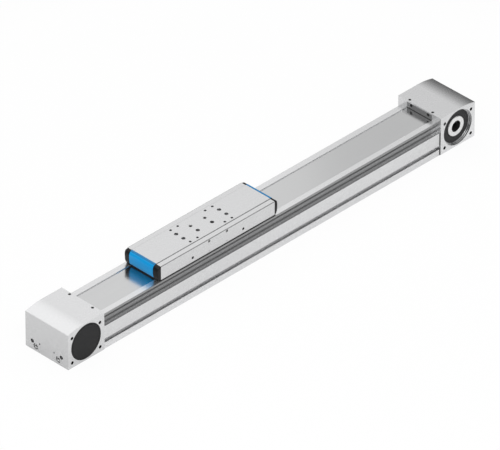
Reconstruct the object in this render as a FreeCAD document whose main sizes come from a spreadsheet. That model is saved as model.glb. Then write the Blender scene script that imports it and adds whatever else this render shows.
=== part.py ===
import FreeCAD, Part
import math
import os
import re
import Sketcher

# Belt driven linear axis: profile with two heads, steel cover strip and one slide.
# X runs along the axis towards the drive head, Y away from the viewer, Z up, in mm.
# The origin is the middle of the footprint, on the mounting plane.

os.makedirs("parts", exist_ok=True)
doc = FreeCAD.newDocument("LinearAxis")

# Every independent size has one named cell.
SIZES = {
    # heads
    "head_width": 80,
    "head_length": 66.5,
    "head_height": 59.4,
    "head_flat": 37,
    "head_arc": 106,
    "pulley_inset": 33,
    "pulley_height": 29.7,
    "side_bolt_x": 50.9,
    "side_bolt_z": 39.2,
    "side_bolt_mid": 27.5,
    "near_bolt_radius": 2.5,
    "far_bolt_radius": 2.25,
    "side_bolt_depth": 10,
    "recess_radius": 27.1,
    "recess_depth": 2.4,
    "step_radius": 26,
    "step_depth": 1.9,
    "seat_radius": 25,
    "seal_width": 2,
    "bearing_width": 8,
    "web_bore": 19,
    "belt_room_radius": 18.7,
    "belt_room_width": 28.4,
    "end_screw_inset": 19,
    "end_screw_z": 7.5,
    "end_sink_radius": 4.5,
    "end_sink_depth": 6.5,
    "head_tap_depth": 7,
    "end_hole_y": 27.2,
    "end_hole_z": 13.6,
    "end_hole_radius": 3,
    "end_hole_depth": 10,
    "vent_y": 13.5,
    "vent_z": 14.8,
    "vent_radius": 1.2,
    "vent_depth": 8,
    "pin_inset": 6.2,
    "pin_z": 29,
    "pin_radius": 2,
    "pin_half": 7,
    "pin_edge": 0.4,
    # bearings, seals and covers
    "outer_race": 2.6,
    "inner_race": 2.4,
    "shield_sink": 0.5,
    "seal_rim": 1.2,
    "seal_lip": 1.4,
    "seal_slope": 0.6,
    "cover_ring": 2,
    "cover_groove": 1.5,
    "cover_edge": 0.7,
    "cover_play": 0.1,
    # profile
    "profile_length": 634,
    "profile_step": 0.8,
    "shoulder_height": 36.1,
    "neck_inset": 7.5,
    "groove_step": 1,
    "groove_low": 43.2,
    "groove_high": 46.2,
    "lip_step": 1,
    "lip_top": 49.1,
    "mouth_half": 20,
    "mouth_low": 43.4,
    "cavity_wall": 12.2,
    "web_top": 24,
    "slot_low": 9.6,
    "slot_high": 15.5,
    "slot_neck": 2.8,
    "slot_depth": 7.6,
    "slot_undercut": 2.6,
    "return_half": 16,
    "return_low": 10.5,
    "return_high": 16.6,
    # cover strip
    "strip_half": 23.2,
    "strip_play": 0.3,
    "strip_seat": 47.4,
    "strip_thick": 0.4,
    "strip_lift": 10.2,
    "strip_foot_inset": 9.05,
    "strip_ramp": 31,
    "strip_bite": 6,
    "clamp_inset": 0.3,
    "clamp_play": 0.1,
    "clamp_depth": 8,
    "clamp_roof": 57,
    "clamp_screw_y": 15.9,
    "clamp_screw_z": 54.2,
    "set_screw_y": 21.5,
    "set_screw_inset": 3.4,
    "set_screw_sink": 0.3,
    # belt and pulleys
    "belt_pitch": 5,
    "belt_width": 25,
    "belt_play": 0.2,
    "belt_back": 1,
    "belt_drop": 0.465,
    "belt_end_gap": 0.6,
    "tooth_depth": 1.2,
    "tooth_root": 2.65,
    "tooth_tip": 1.78,
    "pulley_teeth": 20,
    "mesh_gap": 0.07,
    "groove_gap": 0.13,
    "pulley_floor_gap": 0.25,
    "jaw_floor_gap": 0.15,
    "jaw_teeth": 5,
    "flange_radius": 17.8,
    "flange_width": 1,
    "flange_edge": 0.4,
    "toothed_half": 12.9,
    "hub_radius": 14.9,
    "hub_inset": 2.9,
    "hub_edge": 0.5,
    "drive_bore": 8.3,
    "run_fit": 0.05,
    # guide
    "rail_half": 7.5,
    "rail_height": 9.5,
    "rail_foot": 3.5,
    "rail_slope": 1.1,
    "rail_waist": 1.8,
    "rail_bite": 1.3,
    "rail_inset": 7,
    "rail_pitch": 60,
    "rail_holes": 10,
    "guide_gap": 0.2,
    "block_half": 16,
    "block_low": 28,
    "block_top": 40,
    "block_length": 32,
    "block_inset": 24,
    "block_cap": 5,
    "end_seal_inset": 0.6,
    "block_screw_x": 8,
    "block_screw_y": 12.5,
    # slide
    "slide_x": -98.3,
    "table_half": 106.05,
    "table_width": 63,
    "table_low": 50.2,
    "table_shoulder": 71.8,
    "table_top": 72.5,
    "table_edge": 0.3,
    "plateau_half": 22.7,
    "tunnel_half": 24.4,
    "tunnel_top": 59.5,
    "yoke_inset": 4,
    "flange_inset": 2.3,
    "yoke_top": 56,
    "yoke_play": 0.1,
    "yoke_screw_inset": 10,
    "yoke_screw_side": 5.1,
    "yoke_tap_depth": 9,
    "arm_reach": 20,
    "arm_width": 18,
    "arm_top": 49,
    "jaw_low": 39.5,
    "jaw_setback": 1.5,
    "jaw_screw_y": 15.5,
    "jaw_screw_first": 5,
    "jaw_screw_second": 18,
    "cap_foot": 2.6,
    "cap_brow": 3.6,
    "cap_bulge": 3.1,
    "cap_back": 1.2,
    "cap_lip": 2.2,
    "insert_half": 22.5,
    "insert_gap": 0.1,
    "insert_fit": 0.05,
    "insert_edge": 0.9,
    "pad_gap": 0.5,
    "pad_inset": 0.6,
    "wiper_inset": 0.4,
    "wiper_lap": 0.4,
    "wiper_gap": 0.15,
    "wiper_width": 1.8,
    "wiper_play": 0.2,
    "thread_play": 0.05,
    "big_hole_radius": 2.9,
    "big_hole_y": 6.8,
    "big_hole_a": 13.3,
    "big_hole_b": 40,
    "small_hole_radius": 1.9,
    "small_hole_y": 18.5,
    "small_hole_a": 25.6,
    "small_hole_b": 38.9,
    "top_hole_depth": 10,
    "sleeve_wall": 0.8,
    "sleeve_length": 4,
    "sleeve_edge": 0.2,
    "sleeve_sink": 0.3,
    "side_hole_x": 47.1,
    "side_hole_z": 57,
    "side_hole_radius": 1.6,
    "side_hole_depth": 1.8,
    "plug_x": 16.5,
    "plug_z": 68.6,
    "plug_radius": 1.7,
    "plug_depth": 5,
    "plug_sink": 0.9,
    # screws: shank radius, head radius, head height, socket radius, lengths
    "tap_depth": 6,
    "bore_play": 0.2,
    "tip_gap": 0.2,
    "screw_edge": 0.3,
    "small_shank": 1.5,
    "small_head": 2.75,
    "small_head_height": 3,
    "small_socket": 1.4,
    "small_bore": 1.7,
    "small_sink": 3,
    "small_sink_depth": 3.3,
    "rail_screw_length": 10,
    "rail_sink_floor": 5,
    "yoke_screw_length": 10,
    "block_screw_length": 18,
    "jaw_head": 2.2,
    "jaw_head_height": 2.6,
    "jaw_socket": 1.1,
    "jaw_sink_depth": 3.2,
    "face_shank": 1.25,
    "face_length": 11,
    "face_head": 2.3,
    "face_head_height": 2.4,
    "face_socket": 1.1,
    "face_sink_depth": 2.3,
    "set_shank": 1.5,
    "set_socket": 0.8,
    "end_shank": 2.5,
    "end_head": 4.25,
    "end_head_height": 5,
    "end_socket": 2.3,
    "end_grip": 18,
    # how far a cut starts outside the piece
    "cut_margin": 1,
}

sheet = doc.addObject("Spreadsheet::Sheet", "Dims")
for row, (alias, number) in enumerate(SIZES.items(), start=1):
    sheet.set(f"A{row}", alias)
    sheet.set(f"B{row}", str(number))
    sheet.setAlias(f"B{row}", alias)
doc.recompute()

# Derived positions, written once and used by every mating piece.
INNER_X = "(profile_length / 2)"
OUTER_X = "(profile_length / 2 + head_length)"
PULLEY_X = "(profile_length / 2 + head_length - pulley_inset)"
PITCH_RADIUS = "(belt_pitch * pulley_teeth / 2 / 3.14159265358979)"
LAND_RADIUS = f"({PITCH_RADIUS} - belt_drop)"
TIP_RADIUS = f"({LAND_RADIUS} - tooth_depth)"
BACK_RADIUS = f"({LAND_RADIUS} + belt_back)"
SEAL_FACE = "(head_width / 2 - recess_depth - step_depth)"
BEARING_IN = f"({SEAL_FACE} - seal_width - bearing_width)"
STRIP_TOP = "(strip_seat + strip_thick)"
BELT_TOP = f"(pulley_height + {BACK_RADIUS})"
RAIL_TOP = "(web_top + rail_height)"
RACE_LOW = "(web_top + rail_foot)"
RACE_HIGH = f"({RACE_LOW} + rail_slope * 2 + rail_waist)"
ARM_LOW = f"({BELT_TOP} + mesh_gap)"
SIDE_Y = "(head_width / 2 - profile_step)"
NECK_Y = f"({SIDE_Y} - neck_inset)"
LIP_Y = f"({NECK_Y} + lip_step)"
PIN_Y = f"({SIDE_Y} - pin_inset)"
HUB_HALF = "(head_width / 2 - hub_inset)"
END_SCREW_Y = "(head_width / 2 - end_screw_inset)"
RAIL_END = "(profile_length / 2 - rail_inset)"
FLANGE_Y = "(table_width / 2 - flange_inset)"
YOKE_SCREW_Y = "(table_width / 2 - yoke_screw_side)"
STRIP_FLAT = "(table_half - strip_foot_inset - strip_ramp)"
YOKE_HALF = f"({STRIP_FLAT} - yoke_inset)"
BLOCK_X = f"({YOKE_HALF} - block_inset)"
YOKE_SCREW_X = f"({YOKE_HALF} - yoke_screw_inset)"
ARM_HALF = f"({STRIP_FLAT} + arm_reach)"
JAW_START = f"({YOKE_HALF} + jaw_setback)"
JAW_SCREW_A = f"({JAW_START} + jaw_screw_first)"
JAW_SCREW_B = f"({JAW_START} + jaw_screw_second)"


def full(text):
    """Point every alias of the text at its cell."""
    return re.sub(r"[a-z_]+", lambda m: "Dims." + m.group() if m.group() in SIZES else m.group(), text)


def value(text):
    return float(sheet.evalExpression(full(text)))


def new_body(label):
    body = doc.addObject("PartDesign::Body", label)
    body.Label = label
    return body


def new_sketch(body, name, role, lift="0"):
    sketch = body.newObject("Sketcher::SketchObject", name)
    plane = [item for item in body.Origin.OriginFeatures if item.Role == role][0]
    sketch.AttachmentSupport = [(plane, "")]
    sketch.MapMode = "FlatFace"
    if lift != "0":
        sketch.setExpression("AttachmentOffset.Base.z", full(lift))
    return sketch


def pin_point(sketch, index, end, point):
    """Bind one point of the sketch to its two expressions."""
    for kind, text in zip(("DistanceX", "DistanceY"), point):
        number = sketch.addConstraint(Sketcher.Constraint(kind, -1, 1, index, end, value(text)))
        sketch.setExpression(f"Constraints[{number}]", full(text))


def draw_polygon(sketch, points):
    first = sketch.GeometryCount
    corners = [FreeCAD.Vector(value(x), value(y), 0) for x, y in points]
    count = len(points)
    for i in range(count):
        sketch.addGeometry(Part.LineSegment(corners[i], corners[(i + 1) % count]))
    for i in range(count):
        after = first + (i + 1) % count
        sketch.addConstraint(Sketcher.Constraint("Coincident", first + i, 2, after, 1))
    for i in range(count):
        pin_point(sketch, first + i, 1, points[i])


def draw_circles(sketch, centres, radius):
    for x, y in centres:
        middle = FreeCAD.Vector(value(x), value(y), 0)
        circle = Part.Circle(middle, FreeCAD.Vector(0, 0, 1), value(radius))
        index = sketch.addGeometry(circle)
        pin_point(sketch, index, 3, (x, y))
        number = sketch.addConstraint(Sketcher.Constraint("Radius", index, value(radius)))
        sketch.setExpression(f"Constraints[{number}]", full(radius))


def extrude(body, kind, sketch, length, both=False, flip=False):
    """Pad or pocket a sketch; a pocket has to take material away."""
    before = body.Shape.Volume if body.Tip else 0
    feature = body.newObject("PartDesign::" + kind, kind + sketch.Name)
    feature.Profile = sketch
    feature.setExpression("Length", full(length))
    feature.SideType = "Symmetric" if both else "One side"
    feature.Reversed = flip
    sketch.Visibility = False
    doc.recompute()
    if kind == "Pocket" and body.Shape.Volume > before - 1e-6:
        raise RuntimeError(f"{body.Label}: {sketch.Name} removes nothing")
    return feature


def prism(body, kind, name, role, points, length, lift="0", both=False, flip=False):
    sketch = new_sketch(body, name, role, lift)
    draw_polygon(sketch, points)
    return extrude(body, kind, sketch, length, both, flip)


def box(body, kind, name, x, y, z):
    """Axis-parallel block between pairs of expressions."""
    points = [(x[0], y[0]), (x[1], y[0]), (x[1], y[1]), (x[0], y[1])]
    height = f"({z[1]}) - ({z[0]})"
    start = z[0] if kind == "Pad" else z[1]
    return prism(body, kind, name, "XY_Plane", points, height, start)


def drill(body, name, role, centres, radius, start, depth, flip=False):
    sketch = new_sketch(body, name, role, start)
    draw_circles(sketch, centres, radius)
    return extrude(body, "Pocket", sketch, depth, False, flip)


def turn(body, name, section, kind="Revolution", at=None):
    """Turned shape: section of radius and height pairs about the sketch's upright axis."""
    sketch = new_sketch(body, name, "XY_Plane" if at else "XZ_Plane")
    if at:
        for letter, text in zip("xyz", at):
            sketch.setExpression(f"AttachmentOffset.Base.{letter}", full(text))
    draw_polygon(sketch, section)
    feature = body.newObject("PartDesign::" + kind, kind + name)
    feature.Profile = sketch
    feature.ReferenceAxis = (sketch, ["V_Axis"])
    feature.Angle = 360
    sketch.Visibility = False
    doc.recompute()
    return feature


def place(item, x="0", y="0", z="0", axis=(0, 0, 1), angle=0.0):
    item.Placement = FreeCAD.Placement(
        FreeCAD.Vector(value(x), value(y), value(z)),
        FreeCAD.Rotation(FreeCAD.Vector(*axis), angle),
    )
    for letter, text in zip("xyz", (x, y, z)):
        item.setExpression(f"Placement.Base.{letter}", full(text))


def mirror(item, across, at="0"):
    twin = doc.addObject("Part::Mirroring", item.Name + "_twin")
    twin.Source = item
    twin.Normal = FreeCAD.Vector(*{"x": (1, 0, 0), "y": (0, 1, 0)}[across])
    if at != "0":
        twin.Base = FreeCAD.Vector(value(at), 0, 0)
        twin.setExpression("Base.x", full(at))
    return twin


def gather(label, items):
    group = doc.addObject("Part::Compound", label)
    group.Label = label
    group.Links = items
    return group


def mirrored_set(label, items, planes):
    """Separate solids repeated across the given planes."""
    group = gather(label + "_one" if planes else label, items)
    for number, (across, at) in enumerate(planes):
        last = number == len(planes) - 1
        twin = mirror(group, across, at)
        group = gather(label if last else f"{label}_{number}", [group, twin])
    return group


ACROSS_Y = ("y", "0")
ACROSS_X = ("x", "0")
ACROSS_SLIDE = ("x", "slide_x")
nodes = {}

# Directions a turned piece can point its upright axis in.
AIM = {
    "+z": ((0, 0, 1), 0),
    "-z": ((1, 0, 0), 180),
    "+x": ((0, 1, 0), 90),
    "-x": ((0, 1, 0), -90),
    "+y": ((1, 0, 0), -90),
    "-y": ((1, 0, 0), 90),
}


# Depth of a hexagon socket as a share of the head or grub screw that holds it.
SOCKET_SHARE = 0.55


def hexagon(reach):
    return [(f"({reach}) * cos({60 * i} deg)", f"({reach}) * sin({60 * i} deg)") for i in range(6)]


def cap_screw(label, spot, aim, shank, length, head, height, socket):
    """Socket head screw: its head points along aim, its seat is at spot."""
    body = new_body(label)
    section = [
        ("0", f"-({length})"),
        (shank, f"-({length})"),
        (shank, "0"),
        (head, "0"),
        (head, f"({height}) - screw_edge"),
        (f"({head}) - screw_edge", height),
        ("0", height),
    ]
    turn(body, label + "_turned", section)
    depth = f"({height}) * {SOCKET_SHARE}"
    prism(body, "Pocket", label + "_socket", "XY_Plane", hexagon(socket), depth, height)
    place(body, *spot, *AIM[aim])
    return body


def small_screw(length):
    """Sizes of the 3 mm cap screws, which differ in length only."""
    return "small_shank", length, "small_head", "small_head_height", "small_socket"


def grub_screw(label, spot, aim, shank, length, socket):
    body = new_body(label)
    turn(body, label + "_turned", [("0", f"-({length})"), (shank, f"-({length})"), (shank, "0"), ("0", "0")])
    depth = f"({length}) * {SOCKET_SHARE}"
    prism(body, "Pocket", label + "_socket", "XY_Plane", hexagon(socket), depth, "0")
    place(body, *spot, *AIM[aim])
    return body


def both_sides(half):
    """Closed outline from its right half, bottom to top."""
    return half + [(f"-({x})", y) for x, y in reversed(half)]


# Extruded profile: flat foot, side slots, shoulders, guide cavity under the lips.
profile = new_body("profile")
outline = both_sides([
    (SIDE_Y, "0"),
    (SIDE_Y, "slot_low"),
    (f"{SIDE_Y} - slot_neck", "slot_low"),
    (f"{SIDE_Y} - slot_neck", "slot_low - slot_undercut"),
    (f"{SIDE_Y} - slot_depth", "slot_low - slot_undercut"),
    (f"{SIDE_Y} - slot_depth", "slot_high + slot_undercut"),
    (f"{SIDE_Y} - slot_neck", "slot_high + slot_undercut"),
    (f"{SIDE_Y} - slot_neck", "slot_high"),
    (SIDE_Y, "slot_high"),
    (SIDE_Y, "shoulder_height"),
    (NECK_Y, "shoulder_height"),
    (NECK_Y, "groove_low"),
    (f"{NECK_Y} - groove_step", "groove_low"),
    (f"{NECK_Y} - groove_step", "groove_high"),
    (LIP_Y, "groove_high"),
    (LIP_Y, "lip_top"),
    ("strip_half + strip_play", "lip_top"),
    ("strip_half + strip_play", "strip_seat"),
    ("mouth_half", "strip_seat"),
    ("mouth_half", "mouth_low"),
    (f"{SIDE_Y} - cavity_wall", "mouth_low"),
    (f"{SIDE_Y} - cavity_wall", "web_top"),
])
section = new_sketch(profile, "profile_section", "YZ_Plane")
draw_polygon(section, outline)
draw_polygon(section, both_sides([("return_half", "return_low"), ("return_half", "return_high")]))
end_spots = [(END_SCREW_Y, "end_screw_z"), (f"-{END_SCREW_Y}", "end_screw_z")]
draw_circles(section, end_spots, "end_shank + thread_play")
extrude(profile, "Pad", section, "profile_length", both=True)
pin_spots = [(PIN_Y, "pin_z"), (f"-{PIN_Y}", "pin_z")]
drill(profile, "profile_pins_right", "YZ_Plane", pin_spots, "pin_radius", INNER_X, "pin_half")
drill(profile, "profile_pins_left", "YZ_Plane", pin_spots, "pin_radius", f"-{INNER_X}", "pin_half", flip=True)
first_hole = "-rail_pitch * (rail_holes - 1) / 2"


def along_rail(body, features):
    """Repeat features along the guide rail."""
    pattern = body.newObject("PartDesign::LinearPattern", body.Label + "_row")
    pattern.Originals = features
    axis = [item for item in body.Origin.OriginFeatures if item.Role == "X_Axis"][0]
    pattern.Direction = (axis, [""])
    pattern.setExpression("Length", full("rail_pitch * (rail_holes - 1)"))
    pattern.setExpression("Occurrences", full("rail_holes"))
    body.Tip = pattern
    doc.recompute()
    return pattern


small_tap = "small_shank + thread_play"
tap = drill(profile, "profile_taps", "XY_Plane", [(first_hole, "0")], small_tap, "web_top", "tap_depth")
along_rail(profile, [tap])
nodes["profile"] = profile

# Guide rail with a running groove in each flank, screwed to the web.
rail = new_body("guide_rail")
rail_outline = both_sides([
    ("rail_half", "web_top"),
    ("rail_half", RACE_LOW),
    ("rail_half - rail_bite", f"{RACE_LOW} + rail_slope"),
    ("rail_half - rail_bite", f"{RACE_HIGH} - rail_slope"),
    ("rail_half", RACE_HIGH),
    ("rail_half", RAIL_TOP),
])
prism(rail, "Pad", "rail_section", "YZ_Plane", rail_outline, f"{RAIL_END} * 2", both=True)
bore = drill(rail, "rail_bore", "XY_Plane", [(first_hole, "0")], "small_bore", RAIL_TOP, "rail_height")
sink_depth = "rail_height - rail_sink_floor"
sink = drill(rail, "rail_sink", "XY_Plane", [(first_hole, "0")], "small_sink", RAIL_TOP, sink_depth)
along_rail(rail, [bore, sink])
nodes["guide_rail"] = rail

rail_screws = []
for i in range(int(value("rail_holes"))):
    spot = (f"{first_hole} + {i} * rail_pitch", "0", "web_top + rail_sink_floor")
    rail_screws.append(cap_screw(f"rail_screw_{i}", spot, "+z", *small_screw("rail_screw_length")))
nodes["rail_screws"] = mirrored_set("rail_screws", rail_screws, [])

# Drive head: block with rounded shoulder, belt room, bearing seats and strip pocket.
head = new_body("drive_head")
sketch = new_sketch(head, "head_side", "XZ_Plane")
x_in = value(INNER_X)
x_out = value(OUTER_X)
x_flat = x_in + value("head_flat")
top = value("head_height")
radius = value("head_arc")
low = top - radius + math.sqrt(radius ** 2 - (x_out - x_flat) ** 2)
corners = [(x_flat, top), (x_in, top), (x_in, 0), (x_out, 0), (x_out, low)]
for (x1, z1), (x2, z2) in zip(corners, corners[1:]):
    sketch.addGeometry(Part.LineSegment(FreeCAD.Vector(x1, z1, 0), FreeCAD.Vector(x2, z2, 0)))
angle = math.acos((x_out - x_flat) / radius)
circle = Part.Circle(FreeCAD.Vector(x_flat, top - radius, 0), FreeCAD.Vector(0, 0, 1), radius)
sketch.addGeometry(Part.ArcOfCircle(circle, angle, math.pi / 2))
for i in range(3):
    sketch.addConstraint(Sketcher.Constraint("Coincident", i, 2, i + 1, 1))
sketch.addConstraint(Sketcher.Constraint("Coincident", 3, 2, 4, 1))
sketch.addConstraint(Sketcher.Constraint("Coincident", 4, 2, 0, 1))
pin_point(sketch, 0, 1, (f"{INNER_X} + head_flat", "head_height"))
pin_point(sketch, 0, 2, (INNER_X, "head_height"))
pin_point(sketch, 1, 2, (INNER_X, "0"))
pin_point(sketch, 2, 2, (OUTER_X, "0"))
pin_point(sketch, 4, 3, (f"{INNER_X} + head_flat", "head_height - head_arc"))
sketch.addConstraint(Sketcher.Constraint("Vertical", 3))
extrude(head, "Pad", sketch, "head_width", both=True)
room = new_sketch(head, "belt_room", "XZ_Plane")
draw_circles(room, [(PULLEY_X, "pulley_height")], "belt_room_radius")
extrude(head, "Pocket", room, "belt_room_width", both=True)
mouth = [
    (f"{INNER_X} - cut_margin", "pulley_height - belt_room_radius"),
    (PULLEY_X, "pulley_height - belt_room_radius"),
    (PULLEY_X, "pulley_height + belt_room_radius"),
    (f"{INNER_X} - cut_margin", "pulley_height + belt_room_radius"),
]
prism(head, "Pocket", "belt_mouth", "XZ_Plane", mouth, "belt_room_width", both=True)
side_steps = [
    ("recess_radius", "head_width / 2 + cut_margin"),
    ("recess_radius", "head_width / 2 - recess_depth"),
    ("step_radius", "head_width / 2 - recess_depth"),
    ("step_radius", SEAL_FACE),
    ("seat_radius", SEAL_FACE),
    ("seat_radius", BEARING_IN),
    ("web_bore", BEARING_IN),
]
bore_section = [("0", "head_width / 2 + cut_margin")] + side_steps
bore_section += [(x, f"-({y})") for x, y in reversed(bore_section)]
turn(head, "side_bores", bore_section, "Groove", (PULLEY_X, "0", "pulley_height"))
clamp_room = [
    (f"{INNER_X} - cut_margin", "strip_seat"),
    (f"{INNER_X} + clamp_depth", "strip_seat"),
    (f"{INNER_X} + clamp_depth", "clamp_roof"),
    (f"{INNER_X} - cut_margin", "clamp_roof"),
]
clamp_room_width = "(strip_half + strip_play) * 2"
prism(head, "Pocket", "clamp_room", "XZ_Plane", clamp_room, clamp_room_width, both=True)
clamp_spots = [("clamp_screw_y", "clamp_screw_z"), ("-clamp_screw_y", "clamp_screw_z")]
clamp_back = f"{INNER_X} + clamp_depth"
face_tap = "face_shank + thread_play"
drill(head, "clamp_taps", "YZ_Plane", clamp_spots, face_tap, clamp_back, "head_tap_depth", flip=True)
set_spots = [
    (f"{INNER_X} + set_screw_inset", "set_screw_y"),
    (f"{INNER_X} + set_screw_inset", "-set_screw_y"),
]
set_depth = "head_height - clamp_roof + clamp_play"
drill(head, "set_taps", "XY_Plane", set_spots, "set_shank + thread_play", "head_height", set_depth)
drill(head, "end_bores", "YZ_Plane", end_spots, "end_shank + bore_play", OUTER_X, "head_length")
drill(head, "end_sinks", "YZ_Plane", end_spots, "end_sink_radius", OUTER_X, "end_sink_depth")
deep_spots = [("end_hole_y", "end_hole_z"), ("-end_hole_y", "end_hole_z")]
drill(head, "end_holes", "YZ_Plane", deep_spots, "end_hole_radius", OUTER_X, "end_hole_depth")
vent_spots = [("vent_y", "vent_z"), ("-vent_y", "vent_z")]
drill(head, "end_vents", "YZ_Plane", vent_spots, "vent_radius", OUTER_X, "vent_depth")
drill(head, "head_pins", "YZ_Plane", pin_spots, "pin_radius", INNER_X, "pin_half", flip=True)
side_spots = []
for x_sign in ("-", "+"):
    for z_sign in ("-", "+"):
        x_text = f"{PULLEY_X} {x_sign} side_bolt_x / 2"
        z_text = f"side_bolt_mid {z_sign} side_bolt_z / 2"
        side_spots.append((x_text, z_text))
near_face = "head_width / 2"
far_face = "-head_width / 2"
drill(head, "near_bolts", "XZ_Plane", side_spots, "near_bolt_radius", near_face, "side_bolt_depth")
drill(head, "far_bolts", "XZ_Plane", side_spots, "far_bolt_radius", far_face, "side_bolt_depth", flip=True)
nodes["drive_head"] = head
idler_head = mirror(head, "x")
idler_head.Label = "idler_head"
nodes["idler_head"] = idler_head

end_screw = cap_screw(
    "end_screw",
    (f"{OUTER_X} - end_sink_depth", END_SCREW_Y, "end_screw_z"),
    "+x", "end_shank", "head_length - end_sink_depth + end_grip", "end_head", "end_head_height", "end_socket",
)
nodes["head_screws"] = mirrored_set("head_screws", [end_screw], [ACROSS_Y, ACROSS_X])

pin = new_body("locating_pin")
turn(pin, "locating_pin_turned", [
    ("0", "-pin_half"),
    ("pin_radius - pin_edge", "-pin_half"),
    ("pin_radius", "-pin_half + pin_edge"),
    ("pin_radius", "pin_half - pin_edge"),
    ("pin_radius - pin_edge", "pin_half"),
    ("0", "pin_half"),
])
place(pin, INNER_X, PIN_Y, "pin_z", *AIM["+x"])
nodes["locating_pins"] = mirrored_set("locating_pins", [pin], [ACROSS_Y, ACROSS_X])

# Bearing, seal and blind cover around each end of the pulley hubs.
bearing = new_body("bearing")
turn(bearing, "bearing_turned", [
    ("hub_radius + run_fit", BEARING_IN),
    ("seat_radius", BEARING_IN),
    ("seat_radius", f"{BEARING_IN} + bearing_width"),
    ("seat_radius - outer_race", f"{BEARING_IN} + bearing_width"),
    ("seat_radius - outer_race", f"{BEARING_IN} + bearing_width - shield_sink"),
    ("hub_radius + inner_race", f"{BEARING_IN} + bearing_width - shield_sink"),
    ("hub_radius + inner_race", f"{BEARING_IN} + bearing_width"),
    ("hub_radius + run_fit", f"{BEARING_IN} + bearing_width"),
])
place(bearing, PULLEY_X, "0", "pulley_height", *AIM["-y"])
nodes["pulley_bearings"] = mirrored_set("pulley_bearings", [bearing], [ACROSS_Y, ACROSS_X])

seal = new_body("seal")
turn(seal, "seal_turned", [
    ("hub_radius + run_fit", f"{SEAL_FACE} - seal_width"),
    ("seat_radius", f"{SEAL_FACE} - seal_width"),
    ("seat_radius", SEAL_FACE),
    ("seat_radius - seal_rim", SEAL_FACE),
    ("seat_radius - seal_rim - seal_slope", f"{SEAL_FACE} - seal_slope"),
    ("hub_radius + seal_lip + seal_slope", f"{SEAL_FACE} - seal_slope"),
    ("hub_radius + seal_lip", SEAL_FACE),
    ("hub_radius + run_fit", SEAL_FACE),
])
place(seal, PULLEY_X, "0", "pulley_height", *AIM["-y"])
nodes["shaft_seals"] = mirrored_set("shaft_seals", [seal], [ACROSS_Y, ACROSS_X])


def bearing_cover(label, x_text, aim):
    cover = new_body(label)
    floor = "head_width / 2 - recess_depth"
    turn(cover, label + "_turned", [
        ("0", floor),
        ("step_radius - cover_ring", floor),
        ("step_radius - cover_ring", f"{floor} - cover_groove"),
        ("step_radius - cover_play", f"{floor} - cover_groove"),
        ("step_radius - cover_play", floor),
        ("recess_radius - cover_play", floor),
        ("recess_radius - cover_play", "head_width / 2 - cover_play - cover_edge"),
        ("recess_radius - cover_play - cover_edge", "head_width / 2 - cover_play"),
        ("0", "head_width / 2 - cover_play"),
    ])
    place(cover, x_text, "0", "pulley_height", *AIM[aim])
    return cover


covers = [
    bearing_cover("idler_near_cover", f"-{PULLEY_X}", "-y"),
    bearing_cover("idler_far_cover", f"-{PULLEY_X}", "+y"),
    bearing_cover("drive_far_cover", PULLEY_X, "+y"),
]
nodes["bearing_covers"] = gather("bearing_covers", covers)


# Toothed pulley with hollow hub; its grooves hold the belt teeth at rest.
def pulley(label, x_text, shift):
    body = new_body(label)
    rim = f"({LAND_RADIUS} - mesh_gap)"
    turn(body, label + "_turned", [
        ("drive_bore", f"-{HUB_HALF} + hub_edge"),
        ("drive_bore + hub_edge", f"-{HUB_HALF}"),
        ("hub_radius - hub_edge", f"-{HUB_HALF}"),
        ("hub_radius", f"-{HUB_HALF} + hub_edge"),
        ("hub_radius", "-toothed_half"),
        (rim, "-toothed_half"),
        (rim, "toothed_half"),
        ("hub_radius", "toothed_half"),
        ("hub_radius", f"{HUB_HALF} - hub_edge"),
        ("hub_radius - hub_edge", HUB_HALF),
        ("drive_bore + hub_edge", HUB_HALF),
        ("drive_bore", f"{HUB_HALF} - hub_edge"),
    ])
    floor = f"({TIP_RADIUS} - pulley_floor_gap)"
    half_floor = "(tooth_tip / 2 + groove_gap)"
    half_rim = "(tooth_root / 2 + groove_gap)"
    tooth_space = [
        (f"-{half_floor}", floor),
        (half_floor, floor),
        (half_rim, rim),
        (half_rim, f"{rim} + cut_margin"),
        (f"-{half_rim}", f"{rim} + cut_margin"),
        (f"-{half_rim}", rim),
    ]
    cut = prism(body, "Pocket", label + "_gap", "XY_Plane", tooth_space, "toothed_half * 2", "toothed_half")
    pattern = body.newObject("PartDesign::PolarPattern", label + "_ring")
    pattern.Originals = [cut]
    axis = [item for item in body.Origin.OriginFeatures if item.Role == "Z_Axis"][0]
    pattern.Axis = (axis, [""])
    pattern.Angle = 360
    pattern.setExpression("Occurrences", full("pulley_teeth"))
    body.Tip = pattern
    doc.recompute()
    turned = -math.degrees(value(shift) / value(PITCH_RADIUS))
    rotation = FreeCAD.Rotation(FreeCAD.Vector(0, 1, 0), turned)
    rotation = rotation.multiply(FreeCAD.Rotation(FreeCAD.Vector(1, 0, 0), 90))
    place(body, x_text, "0", "pulley_height")
    body.Placement = FreeCAD.Placement(body.Placement.Base, rotation)
    return body


# Distance from each pulley's top to the belt tooth before it, so that the jaws, which are
# mirror images about the slide's middle, hold the teeth of both belt ends.
DRIVE_SHIFT = f"(belt_pitch / 2 - mod({PULLEY_X} + slide_x; belt_pitch / 2))"
IDLER_SHIFT = f"mod(2 * {PULLEY_X} + {DRIVE_SHIFT}; belt_pitch)"
nodes["drive_pulley"] = pulley("drive_pulley", PULLEY_X, DRIVE_SHIFT)
nodes["idler_pulley"] = pulley("idler_pulley", f"-{PULLEY_X}", IDLER_SHIFT)


def flange(label, x_text):
    ring = new_body(label)
    turn(ring, label + "_turned", [
        ("hub_radius", "toothed_half"),
        ("flange_radius - flange_edge", "toothed_half"),
        ("flange_radius", "toothed_half + flange_edge"),
        ("flange_radius", "toothed_half + flange_width"),
        ("hub_radius", "toothed_half + flange_width"),
    ])
    place(ring, x_text, "0", "pulley_height", *AIM["-y"])
    return ring


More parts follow.
